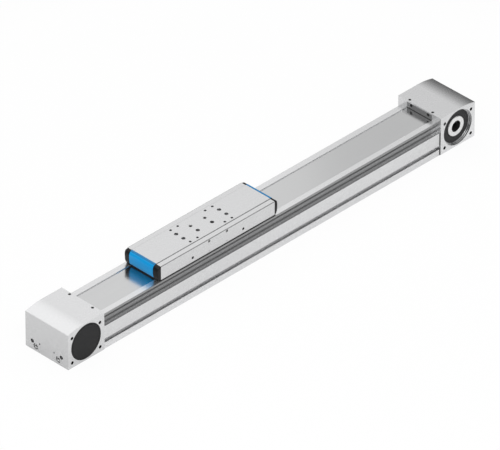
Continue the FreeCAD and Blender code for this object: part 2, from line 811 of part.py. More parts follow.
nodes["drive_flanges"] = mirrored_set("drive_flanges", [flange("drive_flange", PULLEY_X)], [ACROSS_Y])
nodes["idler_flanges"] = mirrored_set("idler_flanges", [flange("idler_flange", f"-{PULLEY_X}")], [ACROSS_Y])


# Toothed belt: from the right jaw over the drive pulley, back below, round the idler.
def belt_shape():
    axle = value(PULLEY_X)
    height = value("pulley_height")
    pitch_radius = value(PITCH_RADIUS)
    land = value(LAND_RADIUS)
    tip = value(TIP_RADIUS)
    back = value(BACK_RADIUS)
    start = value(f"slide_x + {YOKE_HALF} + belt_end_gap")
    stop = value(f"slide_x - {YOKE_HALF} - belt_end_gap")
    turn_length = math.pi * pitch_radius
    to_drive = axle - start
    to_bottom = to_drive + turn_length
    to_idler = to_bottom + 2 * axle
    to_top = to_idler + turn_length
    total = to_top + axle + stop

    def spot(along, reach):
        """Point at a distance along the pitch line, at a radius from the pulley axis."""
        if along <= to_drive:
            return FreeCAD.Vector(start + along, 0, height + reach)
        if along <= to_bottom:
            a = (along - to_drive) / pitch_radius
            return FreeCAD.Vector(axle + reach * math.sin(a), 0, height + reach * math.cos(a))
        if along <= to_idler:
            return FreeCAD.Vector(axle - (along - to_bottom), 0, height - reach)
        if along <= to_top:
            a = (along - to_idler) / pitch_radius
            return FreeCAD.Vector(-axle - reach * math.sin(a), 0, height - reach * math.cos(a))
        return FreeCAD.Vector(-axle + along - to_top, 0, height + reach)

    pitch = value("belt_pitch")
    root = value("tooth_root") / 2
    top_width = value("tooth_tip") / 2
    scale = pitch_radius / land
    first = (to_drive - value(DRIVE_SHIFT)) % pitch
    inner = [spot(0, land)]
    along = first
    while along + root < total:
        on_arc = to_drive <= along <= to_bottom or to_idler <= along <= to_top
        wide = scale if on_arc else 1.0
        narrow = pitch_radius / tip if on_arc else 1.0
        if along - root > 0.05:
            inner.append(spot(along - root * wide, land))
            inner.append(spot(along - top_width * narrow, tip))
            inner.append(spot(along + top_width * narrow, tip))
            inner.append(spot(along + root * wide, land))
        along += pitch
    inner.append(spot(total, land))
    outer = [spot(0, back), spot(to_drive, back)]
    steps = 18
    for i in range(1, steps):
        outer.append(spot(to_drive + turn_length * i / steps, back))
    outer += [spot(to_bottom, back), spot(to_idler, back)]
    for i in range(1, steps):
        outer.append(spot(to_idler + turn_length * i / steps, back))
    outer += [spot(to_top, back), spot(total, back)]
    loop = inner + outer[::-1]
    face = Part.Face(Part.makePolygon(loop + [loop[0]]))
    width = value("belt_width")
    return face.translated(FreeCAD.Vector(0, -width / 2, 0)).extrude(FreeCAD.Vector(0, width, 0))


belt = doc.addObject("Part::Feature", "belt")
belt.Label = "belt"
belt.Shape = belt_shape()
belt.Placement = FreeCAD.Placement()
nodes["belt"] = belt

# Cover strip: flat in its rebate, lifted over the yoke inside the slide.
strip = new_body("cover_strip")
lower = [(f"-({INNER_X} + strip_bite)", "strip_seat")]
ramp_steps = 10
for side in (-1, 1):
    for i in range(ramp_steps + 1):
        part = i / ramp_steps if side < 0 else 1 - i / ramp_steps
        reach = f"({STRIP_FLAT} + strip_ramp * {round(1 - part, 4)})"
        x_text = f"slide_x {'-' if side < 0 else '+'} {reach}"
        rise = round((1 - math.cos(math.pi * part)) / 2, 6)
        lower.append((x_text, f"strip_seat + strip_lift * {rise}"))
lower.append((f"{INNER_X} + strip_bite", "strip_seat"))
upper = [(x, f"{z} + strip_thick") for x, z in reversed(lower)]
prism(strip, "Pad", "strip_run", "XZ_Plane", lower + upper, "strip_half * 2", both=True)
nodes["cover_strip"] = strip

# Strip clamps in the heads, each with two face screws and two set screws from above.
clamp = new_body("strip_clamp")
clamp_x = (f"{INNER_X} + clamp_inset", f"{INNER_X} + clamp_depth")
clamp_y = ("-strip_half - strip_play + clamp_play", "strip_half + strip_play - clamp_play")
box(clamp, "Pad", "clamp_block", clamp_x, clamp_y, (STRIP_TOP, "clamp_roof - clamp_play"))
drill(clamp, "clamp_bores", "YZ_Plane", clamp_spots, "face_shank + bore_play", clamp_back, "clamp_depth")
face_seat = f"{INNER_X} + clamp_inset + face_sink_depth"
sink_depth = "face_sink_depth + cut_margin"
drill(clamp, "clamp_sinks", "YZ_Plane", clamp_spots, "face_head + bore_play", face_seat, sink_depth)
nodes["strip_clamps"] = mirrored_set("strip_clamps", [clamp], [ACROSS_X])
face_screw = cap_screw(
    "face_screw", (face_seat, "clamp_screw_y", "clamp_screw_z"),
    "-x", "face_shank", "face_length", "face_head", "face_head_height", "face_socket",
)
nodes["strip_clamp_screws"] = mirrored_set("strip_clamp_screws", [face_screw], [ACROSS_Y, ACROSS_X])
set_screw = grub_screw(
    "set_screw", (f"{INNER_X} + set_screw_inset", "set_screw_y", "head_height - set_screw_sink"),
    "+z", "set_shank", "head_height - clamp_roof - set_screw_sink", "set_socket",
)
nodes["strip_set_screws"] = mirrored_set("strip_set_screws", [set_screw], [ACROSS_Y, ACROSS_X])


# Sliding carriage. Its bodies are built about their own middle and moved to slide_x.
def carriage_body(label):
    body = new_body(label)
    place(body, "slide_x")
    return body


def four(x_text, y_text):
    return [(f"{a}({x_text})", f"{b}({y_text})") for a in ("", "-") for b in ("", "-")]


table = carriage_body("slide_table")
table_outline = both_sides([
    ("tunnel_half", "table_low"),
    ("table_width / 2", "table_low"),
    ("table_width / 2", "table_shoulder - table_edge"),
    ("table_width / 2 - table_edge", "table_shoulder"),
    ("plateau_half", "table_shoulder"),
    ("plateau_half", "table_top"),
])
table_outline += [("-tunnel_half", "tunnel_top"), ("tunnel_half", "tunnel_top")]
prism(table, "Pad", "table_section", "YZ_Plane", table_outline, "table_half * 2", both=True)
yoke_room_x = (f"-{YOKE_HALF} - yoke_play * 2", f"{YOKE_HALF} + yoke_play * 2")
yoke_room_y = (f"-{FLANGE_Y} - yoke_play", f"{FLANGE_Y} + yoke_play")
box(table, "Pocket", "yoke_room", yoke_room_x, yoke_room_y, ("table_low", "yoke_top"))
big_spots = four("big_hole_a", "big_hole_y") + four("big_hole_b", "big_hole_y")
small_spots = four("small_hole_a", "small_hole_y") + four("small_hole_b", "small_hole_y")
drill(table, "table_big", "XY_Plane", big_spots, "big_hole_radius", "table_top", "top_hole_depth")
drill(table, "table_small", "XY_Plane", small_spots, "small_hole_radius", "table_top", "top_hole_depth")
flange_spots = four(YOKE_SCREW_X, YOKE_SCREW_Y) + [("0", YOKE_SCREW_Y), ("0", f"-{YOKE_SCREW_Y}")]
tap_top = "yoke_top + yoke_tap_depth"
drill(table, "table_taps", "XY_Plane", flange_spots, small_tap, tap_top, "yoke_tap_depth")
face_spots = [("side_hole_x", "side_hole_z"), ("-side_hole_x", "side_hole_z")]
plug_spots = [("plug_x", "plug_z"), ("-plug_x", "plug_z")]
for where, start, flip in (("near", "table_width / 2", False), ("far", "-table_width / 2", True)):
    drill(table, f"table_{where}", "XZ_Plane", face_spots, "side_hole_radius", start, "side_hole_depth", flip)
    drill(table, f"plug_{where}", "XZ_Plane", plug_spots, "plug_radius", start, "plug_depth", flip)
nodes["slide_table"] = table

sleeve = new_body("sleeve")
turn(sleeve, "sleeve_turned", [
    ("big_hole_radius - sleeve_wall", "-sleeve_length"),
    ("big_hole_radius", "-sleeve_length"),
    ("big_hole_radius", "-sleeve_edge"),
    ("big_hole_radius - sleeve_edge", "0"),
    ("big_hole_radius - sleeve_wall", "0"),
])
place(sleeve, "slide_x + big_hole_a", "big_hole_y", "table_top - sleeve_sink")
nodes["centring_sleeves"] = mirrored_set("centring_sleeves", [sleeve], [ACROSS_SLIDE])
plug = grub_screw(
    "plug", ("slide_x + plug_x", "-table_width / 2 + plug_sink", "plug_z"),
    "-y", "plug_radius", "plug_depth - plug_sink - tip_gap", "set_socket",
)
nodes["side_plugs"] = mirrored_set("side_plugs", [plug], [ACROSS_Y, ACROSS_SLIDE])

yoke = carriage_body("yoke")
yoke_outline = both_sides([
    ("block_half", "block_top"),
    ("block_half", "table_low"),
    (FLANGE_Y, "table_low"),
    (FLANGE_Y, "yoke_top"),
])
prism(yoke, "Pad", "yoke_section", "YZ_Plane", yoke_outline, f"{YOKE_HALF} * 2", both=True)
box(yoke, "Pad", "yoke_arms", (f"-{ARM_HALF}", ARM_HALF), ("-arm_width", "arm_width"), (ARM_LOW, "arm_top"))
block_spots = four(f"{BLOCK_X} - block_screw_x", "block_screw_y")
block_spots += four(f"{BLOCK_X} + block_screw_x", "block_screw_y")
drill(yoke, "yoke_bores", "XY_Plane", block_spots, "small_bore", "yoke_top", "yoke_top - block_top")
drill(yoke, "yoke_sinks", "XY_Plane", block_spots, "small_sink", "yoke_top", "small_sink_depth")
drill(yoke, "flange_bores", "XY_Plane", flange_spots, "small_bore", "yoke_top", "yoke_top - table_low")
flange_sink = "small_sink - yoke_play"
drill(yoke, "flange_sinks", "XY_Plane", flange_spots, flange_sink, "table_low", "small_sink_depth", flip=True)
jaw_spots = four(JAW_SCREW_A, "jaw_screw_y") + four(JAW_SCREW_B, "jaw_screw_y")
drill(yoke, "arm_taps", "XY_Plane", jaw_spots, small_tap, "arm_top", f"arm_top - {ARM_LOW}")
nodes["yoke"] = yoke

yoke_screws = []
for number, x_text in enumerate((f"-{YOKE_SCREW_X}", "0", YOKE_SCREW_X)):
    spot = (f"slide_x + {x_text}", YOKE_SCREW_Y, "table_low + small_sink_depth")
    yoke_screws.append(cap_screw(f"yoke_screw_{number}", spot, "-z", *small_screw("yoke_screw_length")))
nodes["yoke_screws"] = mirrored_set("yoke_screws", yoke_screws, [ACROSS_Y])

# Runner blocks riding on the rail, with end seals.
channel = "(rail_half + guide_gap)"
block_half_outline = [
    (channel, "block_low"),
    ("block_half", "block_low"),
    ("block_half", "block_top"),
]
ridge = [
    (channel, f"{RAIL_TOP} + guide_gap"),
    (channel, f"{RACE_HIGH} - guide_gap"),
    (f"{channel} - rail_bite", f"{RACE_HIGH} - rail_slope - guide_gap"),
    (f"{channel} - rail_bite", f"{RACE_LOW} + rail_slope + guide_gap"),
]
block = new_body("runner_block")
block_outline = both_sides(block_half_outline)
block_outline += [(f"-({x})", z) for x, z in reversed(ridge)] + ridge


def runner_prism(body, name, outline, start, length):
    return prism(body, "Pad", name, "YZ_Plane", outline, length, start)


runner_prism(block, "block_section", block_outline, f"{BLOCK_X} - block_length / 2", "block_length")
drill(block, "block_taps", "XY_Plane", [
    (f"{BLOCK_X} - block_screw_x", "block_screw_y"),
    (f"{BLOCK_X} - block_screw_x", "-block_screw_y"),
    (f"{BLOCK_X} + block_screw_x", "block_screw_y"),
    (f"{BLOCK_X} + block_screw_x", "-block_screw_y"),
], small_tap, "block_top", "tap_depth")
place(block, "slide_x")
nodes["runner_blocks"] = mirrored_set("runner_blocks", [block], [ACROSS_SLIDE])
seal_outline = both_sides([
    (channel, "block_low"),
    ("block_half - end_seal_inset", "block_low"),
    ("block_half - end_seal_inset", "block_top - end_seal_inset"),
])
seal_outline += [(f"-{channel}", f"{RAIL_TOP} + guide_gap"), (channel, f"{RAIL_TOP} + guide_gap")]
seals = []
for name, start in (
    ("inner_end_seal", f"{BLOCK_X} - block_length / 2 - block_cap"),
    ("outer_end_seal", f"{BLOCK_X} + block_length / 2"),
):
    end_seal = new_body(name)
    runner_prism(end_seal, name + "_section", seal_outline, start, "block_cap")
    place(end_seal, "slide_x")
    seals.append(end_seal)
nodes["runner_end_seals"] = mirrored_set("runner_end_seals", seals, [ACROSS_SLIDE])
block_screws = []
for number, sign in enumerate(("-", "+")):
    spot = (f"slide_x + {BLOCK_X} {sign} block_screw_x", "block_screw_y", "yoke_top - small_sink_depth")
    block_screws.append(cap_screw(f"block_screw_{number}", spot, "+z", *small_screw("block_screw_length")))
nodes["runner_screws"] = mirrored_set("runner_screws", block_screws, [ACROSS_Y, ACROSS_SLIDE])

# Toothed jaws hold the belt ends against the yoke arms.
jaw = new_body("belt_jaw")
place(jaw, "slide_x")
box(jaw, "Pad", "jaw_block", (JAW_START, ARM_HALF), ("-arm_width", "arm_width"), ("jaw_low", ARM_LOW))
land_z = f"(pulley_height + {LAND_RADIUS} - mesh_gap)"
belt_side = "(belt_width / 2 + belt_play)"
jaw_x = (f"{JAW_START} - cut_margin", f"{ARM_HALF} + cut_margin")
box(jaw, "Pocket", "jaw_room", jaw_x, (f"-{belt_side}", belt_side), (land_z, f"{ARM_LOW} + cut_margin"))
tooth_lag = f"mod({PULLEY_X} - {DRIVE_SHIFT} - slide_x - {JAW_START} + cut_margin; belt_pitch)"
tooth_at = f"({JAW_START} - cut_margin + {tooth_lag})"
half_floor = "(tooth_tip / 2 + groove_gap)"
half_rim = "(tooth_root / 2 + groove_gap)"
jaw_gap = [
    (f"{tooth_at} - {half_floor}", f"pulley_height + {TIP_RADIUS} - jaw_floor_gap"),
    (f"{tooth_at} + {half_floor}", f"pulley_height + {TIP_RADIUS} - jaw_floor_gap"),
    (f"{tooth_at} + {half_rim}", land_z),
    (f"{tooth_at} + {half_rim}", f"{land_z} + cut_margin"),
    (f"{tooth_at} - {half_rim}", f"{land_z} + cut_margin"),
    (f"{tooth_at} - {half_rim}", land_z),
]
gap = prism(jaw, "Pocket", "jaw_gap", "XZ_Plane", jaw_gap, f"{belt_side} * 2", both=True)
row = jaw.newObject("PartDesign::LinearPattern", "jaw_row")
row.Originals = [gap]
row.Direction = ([item for item in jaw.Origin.OriginFeatures if item.Role == "X_Axis"][0], [""])
row.setExpression("Length", full("belt_pitch * (jaw_teeth - 1)"))
row.setExpression("Occurrences", full("jaw_teeth"))
jaw.Tip = row
doc.recompute()
one_jaw = []
for x_text in (JAW_SCREW_A, JAW_SCREW_B):
    one_jaw += [(x_text, "jaw_screw_y"), (x_text, "-jaw_screw_y")]
drill(jaw, "jaw_bores", "XY_Plane", one_jaw, "small_bore", ARM_LOW, f"{ARM_LOW} - jaw_low")
drill(jaw, "jaw_sinks", "XY_Plane", one_jaw, "jaw_head + yoke_play", "jaw_low", "jaw_sink_depth", flip=True)
nodes["belt_jaws"] = mirrored_set("belt_jaws", [jaw], [ACROSS_SLIDE])
jaw_screws = []
jaw_screw_length = "arm_top - jaw_low - jaw_sink_depth - tip_gap"
jaw_screw_sizes = ("small_shank", jaw_screw_length, "jaw_head", "jaw_head_height", "jaw_socket")
for number, x_text in enumerate((JAW_SCREW_A, JAW_SCREW_B)):
    spot = (f"slide_x + {x_text}", "jaw_screw_y", "jaw_low + jaw_sink_depth")
    jaw_screws.append(cap_screw(f"jaw_screw_{number}", spot, "-z", *jaw_screw_sizes))
nodes["belt_jaw_screws"] = mirrored_set("belt_jaw_screws", jaw_screws, [ACROSS_Y, ACROSS_SLIDE])


# End caps of the slide: bulged face, coloured insert, wiper below, hold-down pad inside.
def bulge(steps=12):
    """Convex outer face of a cap from bottom to top."""
    points = []
    for i in range(steps + 1):
        part = round(i / steps, 4)
        swell = round(1 - (2 * part - 1) ** 4, 4)
        x_text = f"table_half + cap_foot + (cap_brow - cap_foot) * {part} + cap_bulge * {swell}"
        points.append((x_text, f"table_low + (table_shoulder - table_low) * {part}"))
    return points


cap = new_body("end_cap")
cap_side = [("table_half", "table_low")] + bulge() + [("table_half", "table_shoulder")]
prism(cap, "Pad", "cap_side", "XZ_Plane", cap_side, "table_width", both=True)
lip = "table_shoulder - cap_lip"
cap_beyond = "table_half + cap_brow + cap_bulge + cut_margin"
insert_room = [
    ("table_half + cap_back", "table_low - cut_margin"),
    (cap_beyond, "table_low - cut_margin"),
    (cap_beyond, "table_shoulder + cut_margin"),
    ("table_half", "table_shoulder + cut_margin"),
    ("table_half", lip),
    ("table_half + cap_back", lip),
]
prism(cap, "Pocket", "insert_room", "XZ_Plane", insert_room, "insert_half * 2", both=True)
place(cap, "slide_x")
nodes["end_caps"] = mirrored_set("end_caps", [cap], [ACROSS_SLIDE])

insert = new_body("cap_insert")
face = [("table_half + cap_back + insert_fit", "table_low")] + bulge()[:-1]
face += [
    ("table_half + cap_brow", "table_shoulder"),
    ("table_half + cap_brow - insert_edge", "table_top"),
    ("table_half + insert_fit", "table_top"),
    ("table_half + insert_fit", f"{lip} + insert_fit"),
    ("table_half + cap_back + insert_fit", f"{lip} + insert_fit"),
]
prism(insert, "Pad", "insert_side", "XZ_Plane", face, "(insert_half - insert_gap) * 2", both=True)
place(insert, "slide_x")
nodes["cap_inserts"] = mirrored_set("cap_inserts", [insert], [ACROSS_SLIDE])

wiper = new_body("wiper")
wiper_outline = both_sides([
    ("strip_half - wiper_lap", f"{STRIP_TOP} + wiper_gap"),
    ("strip_half - wiper_lap", "lip_top + wiper_gap"),
    ("table_width / 2 - wiper_inset", "lip_top + wiper_gap"),
    ("table_width / 2 - wiper_inset", "table_low"),
])
prism(wiper, "Pad", "wiper_section", "YZ_Plane", wiper_outline, "wiper_width", "table_half + wiper_play")
place(wiper, "slide_x")
nodes["wipers"] = mirrored_set("wipers", [wiper], [ACROSS_SLIDE])

pad = new_body("strip_pad")
pad_x = (f"{STRIP_FLAT} + strip_ramp + pad_gap", "table_half - wiper_play")
pad_y = ("-strip_half + pad_inset", "strip_half - pad_inset")
box(pad, "Pad", "pad_block", pad_x, pad_y, (f"{STRIP_TOP} + wiper_gap", "tunnel_top"))
place(pad, "slide_x")
nodes["strip_pads"] = mirrored_set("strip_pads", [pad], [ACROSS_SLIDE])

doc.recompute()
for item in doc.Objects:
    if "Invalid" in item.State or "Error" in item.State:
        raise RuntimeError(f"{item.Label}: {item.State}")
for node, item in nodes.items():
    shape = item.Shape
    if shape.isNull() or not shape.isValid() or not shape.Solids:
        raise RuntimeError(f"{node} has no valid shape")
    shape.exportStep(f"parts/{node}.step")
    bounds = shape.BoundBox
    corners = (bounds.XMin, bounds.XMax, bounds.YMin, bounds.YMax, bounds.ZMin, bounds.ZMax)
    spans = [round(number, 2) for number in corners]
    print(node, len(shape.Solids), spans)
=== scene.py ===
import functools
import math

import bmesh
import bpy
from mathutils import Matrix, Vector


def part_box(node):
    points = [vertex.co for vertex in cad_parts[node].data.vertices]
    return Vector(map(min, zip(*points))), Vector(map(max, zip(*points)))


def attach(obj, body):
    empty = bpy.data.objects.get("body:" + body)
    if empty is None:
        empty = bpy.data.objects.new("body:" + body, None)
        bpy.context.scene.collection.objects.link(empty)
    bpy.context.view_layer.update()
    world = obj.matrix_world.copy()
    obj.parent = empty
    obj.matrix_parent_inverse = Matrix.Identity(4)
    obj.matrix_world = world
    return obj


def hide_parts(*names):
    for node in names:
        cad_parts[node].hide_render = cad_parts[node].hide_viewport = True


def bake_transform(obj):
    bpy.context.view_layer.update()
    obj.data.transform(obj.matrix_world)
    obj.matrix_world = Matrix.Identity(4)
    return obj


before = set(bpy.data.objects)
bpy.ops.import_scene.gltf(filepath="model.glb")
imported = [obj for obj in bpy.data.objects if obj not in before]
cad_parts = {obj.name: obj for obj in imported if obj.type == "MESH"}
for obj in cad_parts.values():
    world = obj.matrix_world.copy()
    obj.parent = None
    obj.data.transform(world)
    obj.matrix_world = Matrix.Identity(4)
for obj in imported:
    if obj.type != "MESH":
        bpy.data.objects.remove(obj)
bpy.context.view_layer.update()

bl_info = {
    "name": "Belt Driven Linear Axis",
    "version": (1, 0, 0),
    "blender": (4, 5, 0),
    "location": "View3D > Sidebar > Linear Axis",
    "description": "Dresses a belt driven linear axis: strip, belt, caps, covers, screws and finishes",
    "category": "Object",
}

# Places taken from the solid model, in metres.
PROFILE_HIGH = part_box("profile")[1]
TABLE_LOW, TABLE_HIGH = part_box("slide_table")
HEAD_LOW, HEAD_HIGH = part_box("drive_head")
STRIP_LOW, STRIP_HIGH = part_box("cover_strip")
CAP_LOW, CAP_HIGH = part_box("end_caps")
BELT_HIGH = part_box("belt")[1]
PULLEY_LOW, PULLEY_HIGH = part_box("drive_pulley")
HEAD_IN = HEAD_LOW.x
SLIDE_X = (TABLE_LOW.x + TABLE_HIGH.x) / 2
TABLE_HALF = (TABLE_HIGH.x - TABLE_LOW.x) / 2
PULLEY_X = (PULLEY_LOW.x + PULLEY_HIGH.x) / 2
PULLEY_Z = (PULLEY_LOW.z + PULLEY_HIGH.z) / 2

# Profile section.
SIDE_Y = PROFILE_HIGH.y
SIDE_IN = SIDE_Y - 0.0004
NECK_Y = SIDE_Y - 0.0075
GROOVE_Y = NECK_Y - 0.001
LIP_Y = NECK_Y + 0.001
LIP_TOP = PROFILE_HIGH.z
MOUTH_Y = STRIP_HIGH.y + 0.0004
REBATE_WIDTH = 0.0039
SHOULDER_Z = 0.0361
GROOVE_LOW = 0.0432
SLOT_LOW = 0.0096
SLOT_HIGH = 0.0155
SLOT_FLOOR = SLOT_LOW - 0.0028
SLOT_ROOF = SLOT_HIGH + 0.0027

# Holes of the heads, with painted shade in them: middle and half distances of the side bolts, and the two
# holes on top.
BOLT_Z = 0.0275
BOLT_HALF_X = 0.02545
BOLT_HALF_Z = 0.0196
TOP_HOLE_X = HEAD_IN + 0.0034
TOP_HOLE_Y = 0.0215

# Slide: limits of painted shade in the line along its top, at the step of its long edges and at its foot
# joint.
LINE_Y = (0.02255, 0.0238)
LINE_Z = (0.0700, 0.0724)
STEP_Y = (0.0308, 0.0330)
STEP_Z = (0.0708, 0.0730)
FOOT_Z = (0.0490, 0.0509)

# Rows of side holes of the slide, with painted shade in them: height, half distance and radius.
SIDE_DRILLED = (0.0570, 0.0471, 0.0020)
SIDE_MARKS = (0.0528, 0.0165, 0.0008)
SIDE_PLUGS = (0.0686, 0.0165, 0.0021)

# Cover strip, and the limits of the painted shade line at its joint with the clamps.
STRIP_THICKNESS = 0.0004
CLAMP_Z = (0.0468, 0.0488)

# Bore of the pulleys, with a small margin, and the radii of the covers and of their recess; bore and recess
# get painted shade.
HUB_BORE = 0.0084
COVER_RADIUS = 0.0270
RECESS_RADIUS = 0.0272

# Half of the gap between the belt's ends.
BELT_END = 0.0626

# Limits of the masks.
OPEN = 1.0
SOFT_EDGE = 0.0003
FINE_EDGE = SOFT_EDGE / 3


def length_setting(name, description, default):
    return bpy.props.FloatProperty(name=name, description=description, default=default, unit="LENGTH")


def colour_setting(name, description, default):
    return bpy.props.FloatVectorProperty(
        name=name, description=description, default=default, size=3, subtype="COLOR")


class AxisStripSettings(bpy.types.PropertyGroup):
    """Sizes of the steel cover strip."""

    thickness: length_setting("Thickness", "Thickness of the strip", STRIP_THICKNESS)
    rest_height: length_setting("Seat height", "Underside of the strip in its rebate", STRIP_LOW.z)
    lift: length_setting(
        "Lift", "Rise of the strip over the yoke inside the slide",
        STRIP_HIGH.z - STRIP_LOW.z - STRIP_THICKNESS)
    flat_half: length_setting("Raised half length", "Half of the raised flat part", 0.066)
    ramp: length_setting("Ramp length", "Length of each slope", 0.031)


class AxisBeltSettings(bpy.types.PropertyGroup):
    """Sizes of the toothed belt."""

    pitch: length_setting("Pitch", "Distance between two teeth", 0.005)
    teeth: bpy.props.IntProperty(name="Pulley teeth", description="Teeth of each pulley", default=20)
    drop: length_setting("Pitch line drop", "From the pitch line to the belt's inner face", 0.000465)
    back: length_setting("Back", "Thickness of the belt's back", 0.001)
    tooth_depth: length_setting("Tooth depth", "Height of a belt tooth", 0.0012)
    tooth_root: length_setting("Tooth root", "Width of a tooth at its root", 0.00265)
    tooth_tip: length_setting("Tooth tip", "Width of a tooth at its tip", 0.00178)
    drive_shift: length_setting("Tooth shift", "Tooth before the drive pulley's top", 0.0003)


class AxisSlideSettings(bpy.types.PropertyGroup):
    """Sizes of the slide's end caps."""

    cap_foot: length_setting("Cap foot", "Thickness of a cap at its bottom", 0.0026)
    cap_brow: length_setting("Cap brow", "Thickness of a cap at its top", 0.0036)
    cap_bulge: length_setting("Cap bulge", "Swell of a cap at mid height", 0.0031)
    insert_half: length_setting("Insert half width", "Half width of the coloured insert", 0.0224)
    corner: length_setting("Corner radius", "Rounding of the cap's upright corners", 0.0022)
    brow_radius: length_setting("Top corner radius", "Rounding of the cap's top corners", 0.0026)


class AxisFinishSettings(bpy.types.PropertyGroup):
    """Colours of the finishes."""

    aluminium: colour_setting("Aluminium", "Clear anodised aluminium", (0.72, 0.722, 0.728))
    strip: colour_setting("Strip", "Rolled stainless steel", (0.60, 0.602, 0.605))
    steel: colour_setting("Steel", "Turned steel", (0.82, 0.82, 0.82))
    black: colour_setting("Black", "Black moulded plastic", (0.007, 0.007, 0.008))
    blue: colour_setting("Blue", "Blue moulded plastic", (0.003, 0.40, 0.90))


class AxisStageSettings(bpy.types.PropertyGroup):
    """Camera, lamps and floor."""

    distance: length_setting("Camera distance", "From the aim point to the camera", 12.274)
    lens: bpy.props.FloatProperty(name="Lens", description="Focal length in millimetres", default=663.6)
    floor_tone: colour_setting("Floor", "Tone of the floor", (0.9, 0.9, 0.9))
    key_power: bpy.props.FloatProperty(
        name="Key lamp", description="Power of the large soft lamp", default=17.0, unit="POWER")
    fill_power: bpy.props.FloatProperty(
        name="Fill lamp", description="Power of the faint lamp behind the left end", default=0.6,
        unit="POWER")
    sky_level: bpy.props.FloatProperty(
        name="Sky level", description="Level of the surrounding light", default=1.25)


# Node building helpers.
def feed(tree, target, source):
    """Link a socket, or set a plain value on it."""
    if isinstance(source, bpy.types.NodeSocket):
        tree.links.new(source, target)
    else:
        target.default_value = source


def add_node(tree, kind, sources=None, **settings):
    """New node with its own settings, its inputs fed by name or number."""
    node = tree.nodes.new(kind)
    for key, setting in settings.items():
        setattr(node, key, setting)
    for key, source in (sources or {}).items():
        feed(tree, node.inputs[key], source)
    return node


def math_node(tree, operation, *sources, clamp=False):
    node = add_node(tree, "ShaderNodeMath", dict(enumerate(sources)), operation=operation, use_clamp=clamp)
    return node.outputs[0]


def mix_colours(tree, share, first, second):
    sources = {"Factor": share, "A": first, "B": second}
    return add_node(tree, "ShaderNodeMix", sources, data_type="RGBA").outputs["Result"]


def split(tree, vector):
    return add_node(tree, "ShaderNodeSeparateXYZ", {0: vector}).outputs


def join(tree, *sides):
    return add_node(tree, "ShaderNodeCombineXYZ", dict(enumerate(sides))).outputs[0]


def noise(tree, vector, scale, detail=2.0):
    sources = {"Vector": vector, "Scale": scale, "Detail": detail}
    return add_node(tree, "ShaderNodeTexNoise", sources).outputs["Fac"]


def new_group(name, values, results):
    """Shader group; values are the defaults of its inputs, None for a vector."""
    group = bpy.data.node_groups.new(name, "ShaderNodeTree")
    for label, default in values.items():
        kind = "NodeSocketVector" if default is None else "NodeSocketFloat"
        socket = group.interface.new_socket(name=label, in_out="INPUT", socket_type=kind)
        if default is not None:
            socket.default_value = default
    for label in results:
        group.interface.new_socket(name=label, in_out="OUTPUT", socket_type="NodeSocketFloat")
    return group, group.nodes.new("NodeGroupInput").outputs, group.nodes.new("NodeGroupOutput").inputs


@functools.cache
def grain_group():
    """Fine grain: small changes of roughness and height from two sizes of noise."""
    group, inside, outside = new_group(
        "Fine grain", {"Place": None, "Size": 900.0, "Roughness": 0.4, "Spread": 0.08},
        ["Roughness", "Height", "Mottle"])
    fine = noise(group, inside["Place"], inside["Size"], 3.0)
    broad = noise(group, inside["Place"], math_node(group, "MULTIPLY", inside["Size"], 0.03))
    centred = math_node(group, "SUBTRACT", math_node(group, "ADD", fine, broad), 1.0)
    swing = math_node(group, "MULTIPLY", centred, inside["Spread"])
    feed(group, outside["Roughness"], math_node(group, "ADD", inside["Roughness"], swing, clamp=True))
    feed(group, outside["Height"], fine)
    feed(group, outside["Mottle"], broad)
    return group


@functools.cache
def lines_group():
    """Drawn lines: long streaks along X, as a die or a roll leaves them."""
    group, inside, outside = new_group(
        "Drawn lines", {"Place": None, "Along": 3.0, "Across": 1400.0}, ["Streaks"])
    sides = zip(split(group, inside["Place"]), ("Along", "Across", "Across"))
    stretched = [math_node(group, "MULTIPLY", side, inside[name]) for side, name in sides]
    feed(group, outside["Streaks"], noise(group, join(group, *stretched), 1.0))
    return group


@functools.cache
def turned_group():
    """Turned rings: fine concentric tool marks round an axis along Y."""
    group, inside, outside = new_group("Turned rings", {"Place": None, "Density": 2600.0}, ["Rings"])
    x, y, z = split(group, inside["Place"])
    squares = [math_node(group, "MULTIPLY", side, side) for side in (x, z)]
    reach = math_node(group, "SQRT", math_node(group, "ADD", *squares))
    rings = [math_node(group, "MULTIPLY", side, inside["Density"]) for side in (reach, y)]
    feed(group, outside["Rings"], noise(group, join(group, *rings), 1.0))
    return group


@functools.cache
def band_group():
    """Band mask: one where a value lies between two limits, with soft borders."""
    group, inside, outside = new_group(
        "Band mask", {"Value": 0.0, "Low": 0.0, "High": 1.0, "Softness": 0.0003}, ["Mask"])
    masks = []
    for first, second in (("Value", "Low"), ("High", "Value")):
        gap = math_node(group, "SUBTRACT", inside[first], inside[second])
        masks.append(math_node(group, "DIVIDE", gap, inside["Softness"], clamp=True))
    feed(group, outside["Mask"], math_node(group, "MULTIPLY", *masks))
    return group


@functools.cache
def pit_group():
    """Pit mask: one inside four round holes set at equal half spacings, below the face."""
    names = ("U", "V", "Half_u", "Half_v", "Radius", "Depth", "Face")
    group, inside, outside = new_group("Pit mask", dict.fromkeys(names, 0.0), ["Mask"])
    squares = []
    for name in ("u", "v"):
        side = math_node(group, "ABSOLUTE", inside[name.upper()])
        gap = math_node(group, "SUBTRACT", side, inside["Half_" + name])
        squares.append(math_node(group, "MULTIPLY", gap, gap))
    reach = math_node(group, "SQRT", math_node(group, "ADD", *squares))
    near = math_node(group, "LESS_THAN", reach, inside["Radius"])
    below = math_node(group, "LESS_THAN", inside["Depth"], inside["Face"])
    feed(group, outside["Mask"], math_node(group, "MULTIPLY", near, below))
    return group


def use_group(tree, maker, **sources):
    """Place one of the shared groups in a material."""
    named = {key.capitalize(): source for key, source in sources.items()}
    return add_node(tree, "ShaderNodeGroup", named, node_tree=maker()).outputs


